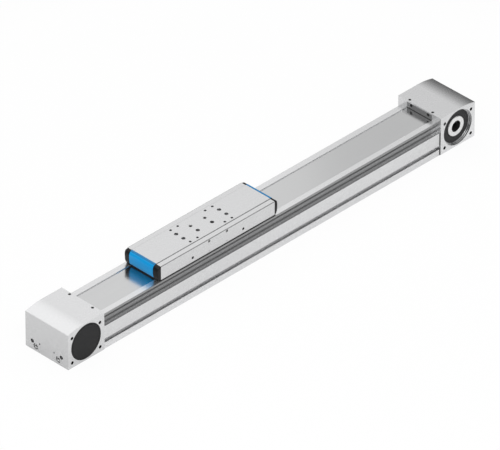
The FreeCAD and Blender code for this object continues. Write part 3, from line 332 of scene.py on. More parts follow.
def plain(colour, share=1.0):
    return (colour[0] * share, colour[1] * share, colour[2] * share, 1.0)


def drift(tree, mask, base, low, high):
    """A base colour that drifts between two tones."""
    return mix_colours(tree, mask, plain(base, low), plain(base, high))


def shade(tree, colour, mask, share, tint):
    """Mix a colour towards a tint where a mask says so."""
    return mix_colours(tree, math_node(tree, "MULTIPLY", mask, share), colour, tint)


def patch(tree, *spans):
    """Mask of the places where each value lies between its limits; a ready mask counts as it is."""
    result = 1.0
    for span in spans:
        if isinstance(span, tuple):
            value, low, high, softness = (*span, SOFT_EDGE)[:4]
            span = use_group(tree, band_group, value=value, low=low, high=high, softness=softness)["Mask"]
        result = math_node(tree, "MULTIPLY", result, span)
    return result


def paint(tree, colour, base, rows):
    """Lay one tone of a base colour after another; a row is share, tone and the spans of a patch."""
    for share, tone, *spans in rows:
        colour = shade(tree, colour, patch(tree, *spans), share, plain(base, tone))
    return colour


def holes(tree, u, v, half_u, half_v, radius, depth, face):
    """Mask of four round holes; u and v are pairs of a coordinate and their middle."""
    sides = [math_node(tree, "SUBTRACT", *pair) for pair in (u, v)]
    return use_group(
        tree, pit_group, u=sides[0], v=sides[1], half_u=half_u, half_v=half_v,
        radius=radius, depth=depth, face=face)["Mask"]


def profile_painted_light_and_shade(tree, colour, base, x, y, z):
    """Painted shade in undercuts, slots, the strip's near rebate and the seam at the right head, which hardly
    any light reaches; painted light on the walls' foot, towards the right end and in the far rebate.
    """
    wide = math_node(tree, "ABSOLUTE", y)
    rebate = (z, LIP_TOP - 0.0026, LIP_TOP - 0.0001, FINE_EDGE)
    return paint(tree, colour, base, [
        # Painted light: lighter towards the right end and on the side walls' foot.
        (0.55, 1.12, (x, -HEAD_IN, OPEN, HEAD_IN * 2)),
        (0.90, 1.12, (z, -OPEN, SLOT_LOW), (wide, NECK_Y, OPEN)),
        # Painted shade in the side slot and along its upper edge, in the upper groove, on the near lip's edge
        # and in the ledge's corners.
        (0.10, 0.12, (z, SLOT_FLOOR, SLOT_ROOF), (wide, NECK_Y, SIDE_IN)),
        (0.60, 0.30, (z, SLOT_HIGH - 0.0002, SLOT_HIGH + 0.0007), (wide, SIDE_IN, OPEN)),
        (0.65, 0.14, (z, GROOVE_LOW - 0.0014, LIP_TOP, SOFT_EDGE / 2), (wide, GROOVE_Y - 0.0012, OPEN)),
        (0.62, 0.20, (y, -OPEN, -LIP_Y + 0.0010), (z, LIP_TOP - 0.0005, OPEN)),
        (0.38, 0.16, (z, SHOULDER_Z, GROOVE_LOW), (wide, GROOVE_Y, NECK_Y + 0.0005)),
        (0.30, 0.16, (z, SHOULDER_Z - 0.0003, SHOULDER_Z + 0.0002, FINE_EDGE), (wide, NECK_Y, SIDE_Y)),
        (0.85, 0.10, (z, SHOULDER_Z - 0.0003, SHOULDER_Z + 0.0011, 0.0006),
         (wide, NECK_Y - 0.0022, NECK_Y + 0.0028, 0.0016)),
        # Painted light in the far side of the strip's rebate, painted shade in its near side.
        (0.90, 1.30, rebate, (y, MOUTH_Y - REBATE_WIDTH, MOUTH_Y, FINE_EDGE)),
        (0.50, 0.16, rebate, (y, -MOUTH_Y, REBATE_WIDTH - MOUTH_Y, FINE_EDGE)),
        # Painted shade in the seam at the right head.
        (0.85, 0.06, (x, HEAD_IN - 0.0019, OPEN), (z, -OPEN, SHOULDER_Z), (wide, NECK_Y, OPEN)),
    ])


def head_painted_light_and_shade(tree, colour, base, x, y, z):
    """Painted shade in the holes of the heads, in the recess round each pulley, at the seam with the
    profile's right end and on the left end face; painted light on the right head's near face, towards its
    foot.
    """
    wide = math_node(tree, "ABSOLUTE", y)
    far = math_node(tree, "ABSOLUTE", x)
    face = HEAD_HIGH.y - 0.0003
    bolts = holes(tree, (far, PULLEY_X), (z, BOLT_Z), BOLT_HALF_X, BOLT_HALF_Z, 0.0027, wide, face)
    # One bolt hole of each head, on the near side, inner and upper, is left without painted shade.
    open_one = patch(tree, (far, HEAD_IN, PULLEY_X), (z, BOLT_Z, OPEN), (y, -OPEN, 0.0))
    bolts = math_node(tree, "SUBTRACT", bolts, open_one, clamp=True)
    tops = holes(tree, (far, TOP_HOLE_X), (wide, TOP_HOLE_Y), 0.0, 0.0, 0.0021, z, HEAD_HIGH.z + 0.0006)
    recess = holes(tree, (far, PULLEY_X), (z, PULLEY_Z), 0.0, 0.0, RECESS_RADIUS, wide, HEAD_HIGH.y - 0.0002)
    return paint(tree, colour, base, [
        # Painted shade on the left end face; painted light on the right head's near face, towards its foot.
        (0.90, 0.84, (x, -OPEN, -HEAD_HIGH.x + 0.0004)),
        (0.90, 1.24, (x, HEAD_IN + 0.0006, OPEN), (y, -OPEN, -face, FINE_EDGE),
         (z, -OPEN, HEAD_HIGH.z, HEAD_HIGH.z)),
        # Painted shade in the bolt holes, in the holes on top and in the recess round the pulley.
        (0.93, 0.03, bolts),
        (0.93, 0.03, tops),
        (0.35, 0.30, recess),
        # Painted shade at the seam with the profile.
        (0.85, 0.06, (x, HEAD_IN - 0.001, HEAD_IN + 0.0002, FINE_EDGE),
         (wide, SIDE_Y - 0.0001, OPEN, FINE_EDGE), (z, -OPEN, SHOULDER_Z)),
    ])


def slide_shadows(tree, colour, base, x, y, z):
    """Painted shade in the line along the slide's top, at the step of its long edges, at its foot and in its
    side holes.
    """
    wide = math_node(tree, "ABSOLUTE", y)
    face = TABLE_HIGH.y + 0.0005
    # Painted shade in the line along the top, at the step of the long edges and at the foot.
    rows = [
        (0.60, 0.08, (wide, *LINE_Y), (z, *LINE_Z, FINE_EDGE)),
        (0.72, 0.10, (wide, *STEP_Y, FINE_EDGE), (z, *STEP_Z, FINE_EDGE)),
        (0.55, 0.10, (z, *FOOT_Z)),
    ]
    # Painted shade in the drilled side holes, in the small marks and round the plugs.
    for share, tone, side in ((0.95, 0.03, SIDE_DRILLED), (0.75, 0.10, SIDE_MARKS), (0.85, 0.05, SIDE_PLUGS)):
        height, half, radius = side
        rows.append((share, tone, holes(tree, (x, SLIDE_X), (z, height), half, 0.0, radius, wide, face)))
    return paint(tree, colour, base, rows)


def clamp_shadows(tree, colour, base, x, y, z):
    """Painted shade line at the joint between a strip clamp and the strip."""
    # Painted shade line where the clamp meets the strip.
    return paint(tree, colour, base, [(0.92, 0.02, (z, *CLAMP_Z))])


def start_material(name, metallic, specular=0.5):
    finish = bpy.data.materials.new(name)
    finish.use_nodes = True
    tree = finish.node_tree
    shader = tree.nodes["Principled BSDF"]
    shader.inputs["Metallic"].default_value = metallic
    shader.inputs["Specular IOR Level"].default_value = specular
    return finish, tree, add_node(tree, "ShaderNodeTexCoord").outputs["Object"]


def end_material(finish, colour, roughness, height, strength, distance):
    """Feed a finish's shader, with a bump from a height."""
    tree = finish.node_tree
    shader = tree.nodes["Principled BSDF"]
    bump = add_node(tree, "ShaderNodeBump", {"Strength": strength, "Distance": distance, "Height": height})
    feed(tree, shader.inputs["Base Color"], colour)
    feed(tree, shader.inputs["Roughness"], roughness)
    feed(tree, shader.inputs["Normal"], bump.outputs["Normal"])
    return finish


def anodised(colours, name, tone, streaks=False, shadows=None):
    base = colours.aluminium
    finish, tree, place = start_material(name, 0.93)
    grain = use_group(tree, grain_group, place=place, size=1100.0, roughness=0.27, spread=0.05)
    colour = drift(tree, grain["Mottle"], base, tone * 0.975, tone * 1.015)
    height = grain["Height"]
    if streaks:
        lines = use_group(tree, lines_group, place=place, along=2.5, across=1500.0)["Streaks"]
        colour = shade(tree, colour, lines, 0.10, plain(base, tone * 0.55))
        height = math_node(tree, "ADD", height, lines)
    # Painted light and shade, laid by the given function.
    if shadows:
        colour = shadows(tree, colour, base, *split(tree, place))
    return end_material(finish, colour, grain["Roughness"], height, strength=0.06, distance=0.00004)


def rolled_strip(colours):
    finish, tree, place = start_material("Rolled stainless strip", 1.0)
    lines = use_group(tree, lines_group, place=place, along=2.0, across=2600.0)["Streaks"]
    grain = use_group(tree, grain_group, place=place, size=420.0, roughness=0.18, spread=0.05)
    colour = drift(tree, lines, colours.strip, 0.91, 1.01)
    return end_material(finish, colour, grain["Roughness"], lines, strength=0.06, distance=0.00002)


def turned_steel(colours, name, x):
    """Bright steel with tool marks round a pulley's axis, with painted shade in its bore."""
    tone = 1.2
    finish, tree, place = start_material(name, 0.3)
    to_axis = (-x, 0.0, -PULLEY_Z)
    centred = add_node(tree, "ShaderNodeMapping", {"Vector": place, "Location": to_axis}).outputs[0]
    rings = use_group(tree, turned_group, place=centred, density=2400.0)["Rings"]
    grain = use_group(tree, grain_group, place=centred, size=1300.0, roughness=0.30, spread=0.08)
    colour = drift(tree, rings, colours.steel, tone * 0.9, tone)
    across, along, up = split(tree, centred)
    wide = math_node(tree, "ABSOLUTE", along)
    # Painted shade in the bore.
    bore = holes(tree, (across, 0.0), (up, 0.0), 0.0, 0.0, HUB_BORE, wide, OPEN)
    colour = paint(tree, colour, colours.aluminium, [(0.97, 0.01, bore)])
    return end_material(finish, colour, grain["Roughness"], rings, strength=0.15, distance=0.00003)


def ground_steel(colours, name="Ground steel", tone=0.75, roughness=0.26):
    finish, tree, place = start_material(name, 1.0)
    lines = use_group(tree, lines_group, place=place, along=60.0, across=2200.0)["Streaks"]
    grain = use_group(tree, grain_group, place=place, size=1500.0, roughness=roughness, spread=0.10)
    colour = drift(tree, lines, colours.steel, tone * 0.85, tone)
    return end_material(finish, colour, grain["Roughness"], grain["Height"], strength=0.10, distance=0.00003)


def black_oxide(colours):
    tone = 0.03
    finish, tree, place = start_material("Black oxide steel", 0.3, 0.3)
    grain = use_group(tree, grain_group, place=place, size=1800.0, roughness=0.42, spread=0.16)
    colour = drift(tree, grain["Mottle"], colours.steel, tone, tone * 1.35)
    return end_material(finish, colour, grain["Roughness"], grain["Height"], strength=0.2, distance=0.00004)


def moulded(name, base, roughness, size, depth, spread=0.12, rows=()):
    """Moulded plastic or rubber: fine texture and a slight drift, with painted shade towards the top as the
    rows say.
    """
    finish, tree, place = start_material(name, 0.0, 0.28)
    grain = use_group(tree, grain_group, place=place, size=size, roughness=roughness, spread=spread)
    colour = drift(tree, grain["Mottle"], base, 0.90, 1.12)
    # Painted shade, darker towards the top, row after row.
    for drop, softness, share, tone in rows:
        span = (split(tree, place)[2], TABLE_HIGH.z - drop, OPEN, softness)
        colour = paint(tree, colour, base, [(share, tone, span)])
    return end_material(finish, colour, grain["Roughness"], grain["Height"], strength=0.25, distance=depth)


def blue_plastic(colours):
    """Blue plastic with a thin gloss, with painted shade towards the joint with the slide's top."""
    # Painted shade: a darker upper front, and a darker line at the joint with the slide's top.
    rows = [(0.0050, 0.0040, 0.38, 0.55), (0.0011, 0.0006, 0.62, 0.25)]
    finish = moulded(
        "Blue moulded plastic", colours.blue, 0.30, size=900.0, depth=0.00002, spread=0.06, rows=rows)
    shader = finish.node_tree.nodes["Principled BSDF"]
    shader.inputs["Coat Weight"].default_value = 0.15
    shader.inputs["Coat Roughness"].default_value = 0.2
    return finish


RUBBER = (0.040, 0.040, 0.041)
POLYURETHANE = (0.03, 0.03, 0.032)
FINISHES = {
    "head": lambda c: anodised(c, "Anodised head casting", 1.0, shadows=head_painted_light_and_shade),
    "profile": lambda c: anodised(c, "Anodised extrusion", 1.03, streaks=True, shadows=profile_painted_light_and_shade),
    "slide": lambda c: anodised(c, "Anodised slide", 0.98, streaks=True, shadows=slide_shadows),
    "inner": lambda c: anodised(c, "Anodised inner parts", 0.9),
    # The clamps' dark tone is a painted dark reflection, with a painted shade line at their joint with the
    # strip.
    "clamp": lambda c: anodised(c, "Dark anodised clamps", 0.42, shadows=clamp_shadows),
    "strip": rolled_strip,
    "drive_steel": lambda c: turned_steel(c, "Turned hub steel", PULLEY_X),
    "idler_steel": lambda c: turned_steel(c, "Turned idler steel", -PULLEY_X),
    "ground": ground_steel,
    "plug": lambda c: ground_steel(c, "Zinc plated plugs", tone=1.2, roughness=0.45),
    "zinc": lambda c: ground_steel(c, "Zinc plated steel", tone=0.8, roughness=0.3),
    "oxide": black_oxide,
    "black": lambda c: moulded("Black moulded plastic", c.black, 0.46, size=1600.0, depth=0.00005),
    "blue": blue_plastic,
    "rubber": lambda c: moulded("Black rubber", RUBBER, 0.6, size=2400.0, depth=0.00006),
    "belt": lambda c: moulded("Belt polyurethane", POLYURETHANE, 0.5, size=2000.0, depth=0.00004),
}


@functools.cache
def finish_named(name):
    """Build a finish the first time it is asked for."""
    return FINISHES[name](bpy.context.scene.axis_finish)


# Finish of each solid that is shown as it comes, for the two steps that only dress solids.
BODY_FINISHES = {
    "profile": "profile", "drive_head": "head", "idler_head": "head", "slide_table": "slide",
    "yoke": "inner", "strip_clamps": "clamp", "belt_jaws": "clamp",
}
GUIDE_FINISHES = {
    "guide_rail": "ground", "runner_blocks": "ground", "runner_end_seals": "black",
    "runner_screws": "oxide", "rail_screws": "oxide", "locating_pins": "ground",
    "pulley_bearings": "ground", "shaft_seals": "rubber", "drive_pulley": "drive_steel",
    "drive_flanges": "drive_steel", "idler_pulley": "idler_steel", "idler_flanges": "idler_steel",
    "yoke_screws": "oxide", "belt_jaw_screws": "oxide", "wipers": "rubber", "strip_pads": "black",
    "centring_sleeves": "ground", "strip_set_screws": "oxide",
}


def dress(finishes):
    """Give solids of the frame their finish."""
    for node, name in finishes.items():
        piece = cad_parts[node]
        finish = finish_named(name)
        for slot in piece.material_slots:
            slot.material = finish
        if not piece.material_slots:
            piece.data.materials.append(finish)


# Mesh helpers.
def add_object(name, content):
    item = bpy.data.objects.new(name, content)
    bpy.context.scene.collection.objects.link(item)
    return item


def mesh_piece(name, build, finish):
    """New object from a bmesh that build fills; its place is in its mesh."""
    form = bmesh.new()
    build(form)
    mesh = bpy.data.meshes.new(name)
    form.to_mesh(mesh)
    form.free()
    if finish:
        mesh.materials.append(finish_named(finish))
    return add_object(name, mesh)


def skin(form, rings, *ends):
    """Join closed rings of vertices by quads, and close the given ends."""
    count = len(rings[0])
    for first, second in zip(rings, rings[1:]):
        for i in range(count):
            j = (i + 1) % count
            form.faces.new((first[i], first[j], second[j], second[i]))
    for end in ends:
        form.faces.new(end)
    bmesh.ops.recalc_face_normals(form, faces=form.faces)


def extruded(form, outline, low, high):
    """Prism from an outline of X and Z, pulled along Y."""
    rings = [[form.verts.new((x, y, z)) for x, z in outline] for y in (low, high)]
    skin(form, rings, rings[0], rings[1][::-1])


def ring(form, angles, reaches, z):
    """Vertices round Z, each at its own angle and reach."""
    spots = zip(angles, reaches)
    return [form.verts.new((reach * math.cos(a), reach * math.sin(a), z)) for a, reach in spots]


def turned(form, section, steps):
    """Solid of revolution about Z from radius and height pairs that start and end on the axis."""
    rings = []
    for radius, height in section:
        count = steps if radius else 1
        angles = [2 * math.pi * i / steps for i in range(count)]
        rings.append(ring(form, angles, [radius] * count, height))
    for lower, upper in zip(rings, rings[1:]):
        for i in range(steps):
            j = (i + 1) % steps
            corners = []
            for circle, index in ((lower, i), (lower, j), (upper, j), (upper, i)):
                vert = circle[index if len(circle) > 1 else 0]
                if vert not in corners:
                    corners.append(vert)
            form.faces.new(corners)
    bmesh.ops.recalc_face_normals(form, faces=form.faces)


def settle(piece):
    """Turn the evaluated result into the piece's own mesh and drop its modifiers."""
    bpy.context.view_layer.update()
    graph = bpy.context.evaluated_depsgraph_get()
    result = bpy.data.meshes.new_from_object(piece.evaluated_get(graph))
    piece.modifiers.clear()
    result.name = piece.data.name
    piece.data = result
    return piece


def smooth_by_angle(piece, angle):
    piece.data.shade_smooth()
    piece.data.set_sharp_from_angle(angle=math.radians(angle))
    return piece


# Geometry node trees for what repeats.
def tree_start(name, **inputs):
    """Geometry tree with a finish and further inputs, each given as its kind of socket."""
    tree = bpy.data.node_groups.new(name, "GeometryNodeTree")
    tree.interface.new_socket(name="Geometry", in_out="OUTPUT", socket_type="NodeSocketGeometry")
    for label, kind in {"Geometry": "Geometry", **inputs, "Finish": "Material"}.items():
        tree.interface.new_socket(name=label, in_out="INPUT", socket_type="NodeSocket" + kind)
    return tree, tree.nodes.new("NodeGroupInput").outputs


def tree_end(tree, points, template, rotation, finish):
    """Set a template on points, each copy turned, and give the copies their finish."""
    source = add_node(tree, "GeometryNodeObjectInfo", {"Object": template}, transform_space="ORIGINAL")
    sources = {"Points": points, "Instance": source.outputs["Geometry"], "Rotation": rotation}
    spread = add_node(tree, "GeometryNodeInstanceOnPoints", sources)
    realize = add_node(tree, "GeometryNodeRealizeInstances", {0: spread.outputs[0]})
    painted = add_node(tree, "GeometryNodeSetMaterial", {"Geometry": realize.outputs[0], "Material": finish})
    add_node(tree, "NodeGroupOutput", {0: painted.outputs[0]})
    return tree


@functools.cache
def copies_tree():
    """One template on every point, turned as the point's own attribute says."""
    tree, inside = tree_start("Copies on points", Template="Object")
    turn = add_node(tree, "GeometryNodeInputNamedAttribute", {"Name": "turn"}, data_type="FLOAT_VECTOR")
    rotation = add_node(tree, "FunctionNodeEulerToRotation", {0: turn.outputs["Attribute"]})
    return tree_end(tree, inside["Geometry"], inside["Template"], rotation.outputs[0], inside["Finish"])


@functools.cache
def teeth_tree():
    """Teeth at equal steps along a path, each square to it."""
    tree, inside = tree_start("Teeth along a path", Pitch="Float", Template="Object")
    line = add_node(tree, "GeometryNodeMeshToCurve", {0: inside["Geometry"]})
    sources = {"Curve": line.outputs[0], "Length": inside["Pitch"]}
    steps = add_node(tree, "GeometryNodeResampleCurve", sources, mode="LENGTH")
    tangent = add_node(tree, "GeometryNodeInputTangent").outputs[0]
    aim = add_node(tree, "FunctionNodeAlignRotationToVector", {"Vector": tangent}, axis="X", pivot_axis="Y")
    return tree_end(tree, steps.outputs[0], inside["Template"], aim.outputs[0], inside["Finish"])


def run_tree(piece, tree, finish, template, **values):
    """Run a tree on a piece, keep the result as its plain mesh and drop the template."""
    values.update(Template=template, Finish=finish_named(finish))
    modifier = piece.modifiers.new("Repeat", "NODES")
    modifier.node_group = tree
    for item in tree.interface.items_tree:
        if item.in_out == "INPUT" and item.name in values:
            modifier[item.identifier] = values[item.name]
    settle(piece)
    bpy.data.objects.remove(template)
    return piece


def copies(name, template, spots, finish):
    """Copies of a template at (place, turn) spots as one mesh."""
    mesh = bpy.data.meshes.new(name)
    mesh.from_pydata([place for place, turn in spots], [], [])
    turns = mesh.attributes.new("turn", "FLOAT_VECTOR", "POINT")
    turns.data.foreach_set("vector", [number for place, turn in spots for number in turn])
    return run_tree(add_object(name, mesh), copies_tree(), finish, template)


# Turns that aim a template's Z along a direction.
AIM = {
    "+x": (0.0, math.pi / 2, 0.0), "-x": (0.0, -math.pi / 2, 0.0),
    "+y": (-math.pi / 2, 0.0, 0.0), "-y": (math.pi / 2, 0.0, 0.0),
}


# Shares of a socket screw's head: its rim, its knurled part, the knurls' depth and the socket's floor.
RIM = 0.08
KNURLED_FROM = 0.93
KNURL_REACH = 0.965
SOCKET_FLOOR = 0.45


def socket_screw(name, shank, length, head, height, socket, knurls):
    """Socket head screw along Z: seat at zero, knurled head above, rounded rim, hexagon socket."""
    def build(form):
        count = knurls * 2
        angles = [2 * math.pi * i / count for i in range(count)]
        flat = socket * math.cos(math.pi / 6)
        flats = [flat / math.cos(a % (math.pi / 3) - math.pi / 6) for a in angles]
        rim = head * RIM
        section = [
            (0.0, -length), (shank * 0.8, -length), (shank, -length + shank * 0.3), (shank, 0.0),
            (head - rim, 0.0), (head, rim), (head, height - rim * 1.5),
            (head - rim * 0.5, height - rim * 0.5), (head - rim * 1.5, height),
        ]
        rings = []
        for radius, z in section:
            grooved = radius * KNURL_REACH if radius > head * KNURLED_FROM else radius
            rings.append(ring(form, angles, [radius, grooved] * knurls, z))
        for z in (height, height * SOCKET_FLOOR):
            rings.append(ring(form, angles, flats, z))
        skin(form, rings, rings[-1])
        bmesh.ops.remove_doubles(form, verts=form.verts, dist=1e-7)
        bmesh.ops.recalc_face_normals(form, faces=form.faces)
    return smooth_by_angle(mesh_piece(name, build, None), 40)


# Operators, one for each group of pieces.
class AXIS_OT_castings(bpy.types.Operator):
    """Finish the profile, the two heads and the slide's body"""

    bl_idname = "axis.castings"
    bl_label = "Aluminium Bodies"

    def execute(self, context):
        dress(BODY_FINISHES)
        return {"FINISHED"}


class AXIS_OT_guides(bpy.types.Operator):
    """Finish the guide, the pulleys and the small inner parts"""

    bl_idname = "axis.guides"
    bl_label = "Guide and Pulleys"

    def execute(self, context):
        dress(GUIDE_FINISHES)
        return {"FINISHED"}


class AXIS_OT_strip(bpy.types.Operator):
    """Lay the cover strip in two halves that rise over the slide"""

    bl_idname = "axis.strip"
    bl_label = "Cover Strip"

    edge_share = 0.3

    def height(self, x):
        """Underside of the strip at a place along X."""
        strip = bpy.context.scene.axis_strip
        reach = abs(x - SLIDE_X) - strip.flat_half
        if reach <= 0:
            return strip.rest_height + strip.lift
        if reach >= strip.ramp:
            return strip.rest_height
        return strip.rest_height + strip.lift * (1 + math.cos(math.pi * reach / strip.ramp)) / 2

    def run(self, name, start, stop, steps):
        """Strip with broken edges between two places along X."""
        strip = bpy.context.scene.axis_strip
        half = STRIP_HIGH.y
        edge = strip.thickness * self.edge_share

        def build(form):
            rings = []
            for i in range(steps + 1):
                x = start + (stop - start) * i / steps
                low = self.height(x)
                high = low + strip.thickness
                section = [
                    (-half + edge, low), (half - edge, low), (half, low + edge), (half, high - edge),
                    (half - edge, high), (-half + edge, high), (-half, high - edge), (-half, low + edge),
                ]
                rings.append([form.verts.new((x, y, z)) for y, z in section])
            skin(form, rings, rings[0], rings[-1][::-1])
        return smooth_by_angle(mesh_piece(name, build, "strip"), 30)

    def execute(self, context):
        dress({"cover_strip": "strip"})
        left = self.run("strip_left", STRIP_LOW.x, SLIDE_X, steps=220)
        right = self.run("strip_right", SLIDE_X, STRIP_HIGH.x, steps=300)
        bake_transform(left)
        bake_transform(right)
        for piece in (left, right):
            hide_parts("cover_strip")
        return {"FINISHED"}


class AXIS_OT_belt(bpy.types.Operator):
    """Run the toothed belt round both pulleys to the jaws in the slide"""

    bl_idname = "axis.belt"
    bl_label = "Toothed Belt"

    band_step = 0.0022
    tooth_margin = 0.0014
    points_per_tooth = 4
    end_slack = 0.99999

    def lay_out(self, belt):
        """Radii of the belt, and the places along its pitch line where it turns or ends."""
        self.pitch_radius = belt.pitch * belt.teeth / 2 / math.pi
        self.land = self.pitch_radius - belt.drop
        self.start = SLIDE_X + BELT_END
        self.stop = SLIDE_X - BELT_END
        arc = math.pi * self.pitch_radius
        self.marks = [0.0]
        for length in (PULLEY_X - self.start, arc, 2 * PULLEY_X, arc, PULLEY_X + self.stop):
            self.marks.append(self.marks[-1] + length)

    def spot(self, along, reach):
        """X and Z at a place along the pitch line, at a radius from the pulley's axis."""
        to_drive, to_bottom, to_idler, to_top = self.marks[1:5]
        if along <= to_drive:
            return (self.start + along, PULLEY_Z + reach)
        if along <= to_bottom:
            a = (along - to_drive) / self.pitch_radius
            return (PULLEY_X + reach * math.sin(a), PULLEY_Z + reach * math.cos(a))
        if along <= to_idler:
            return (PULLEY_X - (along - to_bottom), PULLEY_Z - reach)
        if along <= to_top:
            a = (along - to_idler) / self.pitch_radius
            return (-PULLEY_X - reach * math.sin(a), PULLEY_Z - reach * math.cos(a))
        return (-PULLEY_X + along - to_top, PULLEY_Z + reach)

    def run(self, belt, name, low, high):
        """Band and row of teeth between two places along the pitch line."""
        half = BELT_HIGH.y
        back = self.land + belt.back
        steps = max(8, int((high - low) / self.band_step))
        along = [low + (high - low) * i / steps for i in range(steps + 1)]
        outline = [self.spot(a, self.land) for a in along] + [self.spot(a, back) for a in reversed(along)]
        band = mesh_piece(name, lambda form: extruded(form, outline, -half, half), "belt")
        first = (self.marks[1] - belt.drive_shift) % belt.pitch
        count = math.ceil((low + self.tooth_margin - first) / belt.pitch)
        begin = first + count * belt.pitch
        turns = int((high - self.tooth_margin - begin) / belt.pitch)
        points = []
        for i in range(turns * self.points_per_tooth + 1):
            x, z = self.spot(begin + i * belt.pitch / self.points_per_tooth, self.land)
            points.append((x, 0.0, z))
        mesh = bpy.data.meshes.new(name + "_teeth")
        mesh.from_pydata(points, [(i, i + 1) for i in range(len(points) - 1)], [])
        row = add_object(name + "_teeth", mesh)
        length = sum((Vector(a) - Vector(b)).length for a, b in zip(points, points[1:]))
        root = belt.tooth_root / 2
        tip = belt.tooth_tip / 2
        tooth = [(-root, 0.0), (-tip, -belt.tooth_depth), (tip, -belt.tooth_depth), (root, 0.0)]
        template = mesh_piece("belt_tooth", lambda form: extruded(form, tooth, -half, half), None)
        run_tree(row, teeth_tree(), "belt", template, Pitch=length / turns * self.end_slack)
        return band, row

    def execute(self, context):
        belt = context.scene.axis_belt
        dress({"belt": "belt"})
        self.lay_out(belt)
        marks = self.marks
        loop = self.run(belt, "belt_loop", marks[1], marks[4])
        right = self.run(belt, "belt_right", marks[0], marks[1])
        left = self.run(belt, "belt_left", marks[4], marks[5])
        for piece in loop:
            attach(piece, "base")
        for piece in right:
            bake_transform(piece)
        for piece in left:
            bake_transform(piece)
        for piece in loop + right + left:
            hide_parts("belt")
        return {"FINISHED"}


class AXIS_OT_caps(bpy.types.Operator):
    """Shape the slide's black end caps and their blue inserts"""

    bl_idname = "axis.caps"
    bl_label = "End Caps"

    rows = 36
    columns = 18
    joint = 0.00005
    side_gap = 0.00015
    edge_radius = 0.0005
    insert_brow = 0.0012
    foot_share = 0.4
    brow_share = 0.8

    def face_x(self, z):
        """Outer face of a cap, measured from the slide's middle."""
        slide = bpy.context.scene.axis_slide
        part = min(1.0, max(0.0, (z - CAP_LOW.z) / (CAP_HIGH.z - CAP_LOW.z)))
        thickness = slide.cap_foot + (slide.cap_brow - slide.cap_foot) * part
        return TABLE_HALF + thickness + slide.cap_bulge * (1 - (2 * part - 1) ** 4)

    def arc(self, reach, radius):
        """Drop of a rounded edge at a distance from it."""
        if reach >= radius:
            return 0.0
        return radius - math.sqrt(max(0.0, radius ** 2 - (radius - reach) ** 2))

    def plate(self, name, side, inner, outer, z_high, finish, brow, upright):
        """Bulged plate between two Y limits; the outer limit's corners are rounded."""
        z_low = CAP_LOW.z

        def build(form):
            grid = []
            for i in range(self.rows + 1):
                part = (1 - math.cos(math.pi * i / self.rows)) / 2
                z = z_low + (z_high - z_low) * part
                limit = outer
                if upright:
                    drop = self.arc(z_high - z, brow) + self.arc(z - z_low, brow * self.foot_share)
                    limit -= math.copysign(drop, outer)
                line = []
                for j in range(self.columns + 1):
                    share = (1 - math.cos(math.pi * j / self.columns)) / 2
                    y = inner + (limit - inner) * share
                    x = self.face_x(z) - self.arc(abs(limit - y), upright)
                    x -= self.arc(z_high - z, brow) * self.brow_share
                    if not upright:
                        x -= self.arc(abs(y - inner), self.edge_radius)
                        x -= self.arc(abs(limit - y), self.edge_radius)
                    line.append(form.verts.new((SLIDE_X + side * x, y, z)))
                grid.append(line)
            for lower, upper in zip(grid, grid[1:]):
                for j in range(self.columns):
                    form.faces.new((lower[j], lower[j + 1], upper[j + 1], upper[j]))
            rim = grid[0] + [line[-1] for line in grid[1:-1]] + grid[-1][::-1]
            rim += [line[0] for line in grid[-2:0:-1]]
            back = SLIDE_X + side * (TABLE_HALF + self.joint)
            rear = [form.verts.new((back, vert.co.y, vert.co.z)) for vert in rim]
            skin(form, [rim, rear], rear)
        return smooth_by_angle(mesh_piece(name, build, finish), 40)

    def execute(self, context):
        slide = context.scene.axis_slide
        seam = slide.insert_half + self.side_gap
        for side, word in ((-1, "left"), (1, "right")):
            for where, way, limit in (("near", -1, CAP_LOW.y), ("far", 1, CAP_HIGH.y)):
                cheek = self.plate(
                    f"cap_{word}_{where}", side, way * seam, limit, CAP_HIGH.z, "black",
                    slide.brow_radius, slide.corner)
                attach(cheek, "carriage")
                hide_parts("end_caps")
            insert = self.plate(
                f"insert_{word}", side, -slide.insert_half, slide.insert_half, TABLE_HIGH.z - self.joint,
                "blue", self.insert_brow, 0.0)
            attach(insert, "carriage")
            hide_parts("cap_inserts")
        return {"FINISHED"}


class AXIS_OT_covers(bpy.types.Operator):
    """Turn the flush black covers of the pulley bearings"""

    bl_idname = "axis.covers"
    bl_label = "Bearing Covers"

    thickness = 0.0023
    # Rim with a shallow groove, as distances from the rim inwards and drops below the face.
    rim = (
        (0.0, 0.0009), (0.0003, 0.0004), (0.0009, 0.0001), (0.0014, 0.0),
        (0.0022, 0.0), (0.0024, 0.0003), (0.0028, 0.0003), (0.0030, 0.0),
    )

    def execute(self, context):
        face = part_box("bearing_covers")[1].y
        section = [(0.0, face - self.thickness), (COVER_RADIUS, face - self.thickness)]
        section += [(COVER_RADIUS - inset, face - drop) for inset, drop in self.rim]
        section.append((0.0, face))
        template = mesh_piece("cover", lambda form: turned(form, section, steps=128), None)
        smooth_by_angle(template, 25)
        places = ((-PULLEY_X, "-y"), (-PULLEY_X, "+y"), (PULLEY_X, "+y"))
        spots = [((x, 0.0, PULLEY_Z), AIM[aim]) for x, aim in places]
        piece = copies("bearing_discs", template, spots, "black")
        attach(piece, "base")
        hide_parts("bearing_covers")
        return {"FINISHED"}


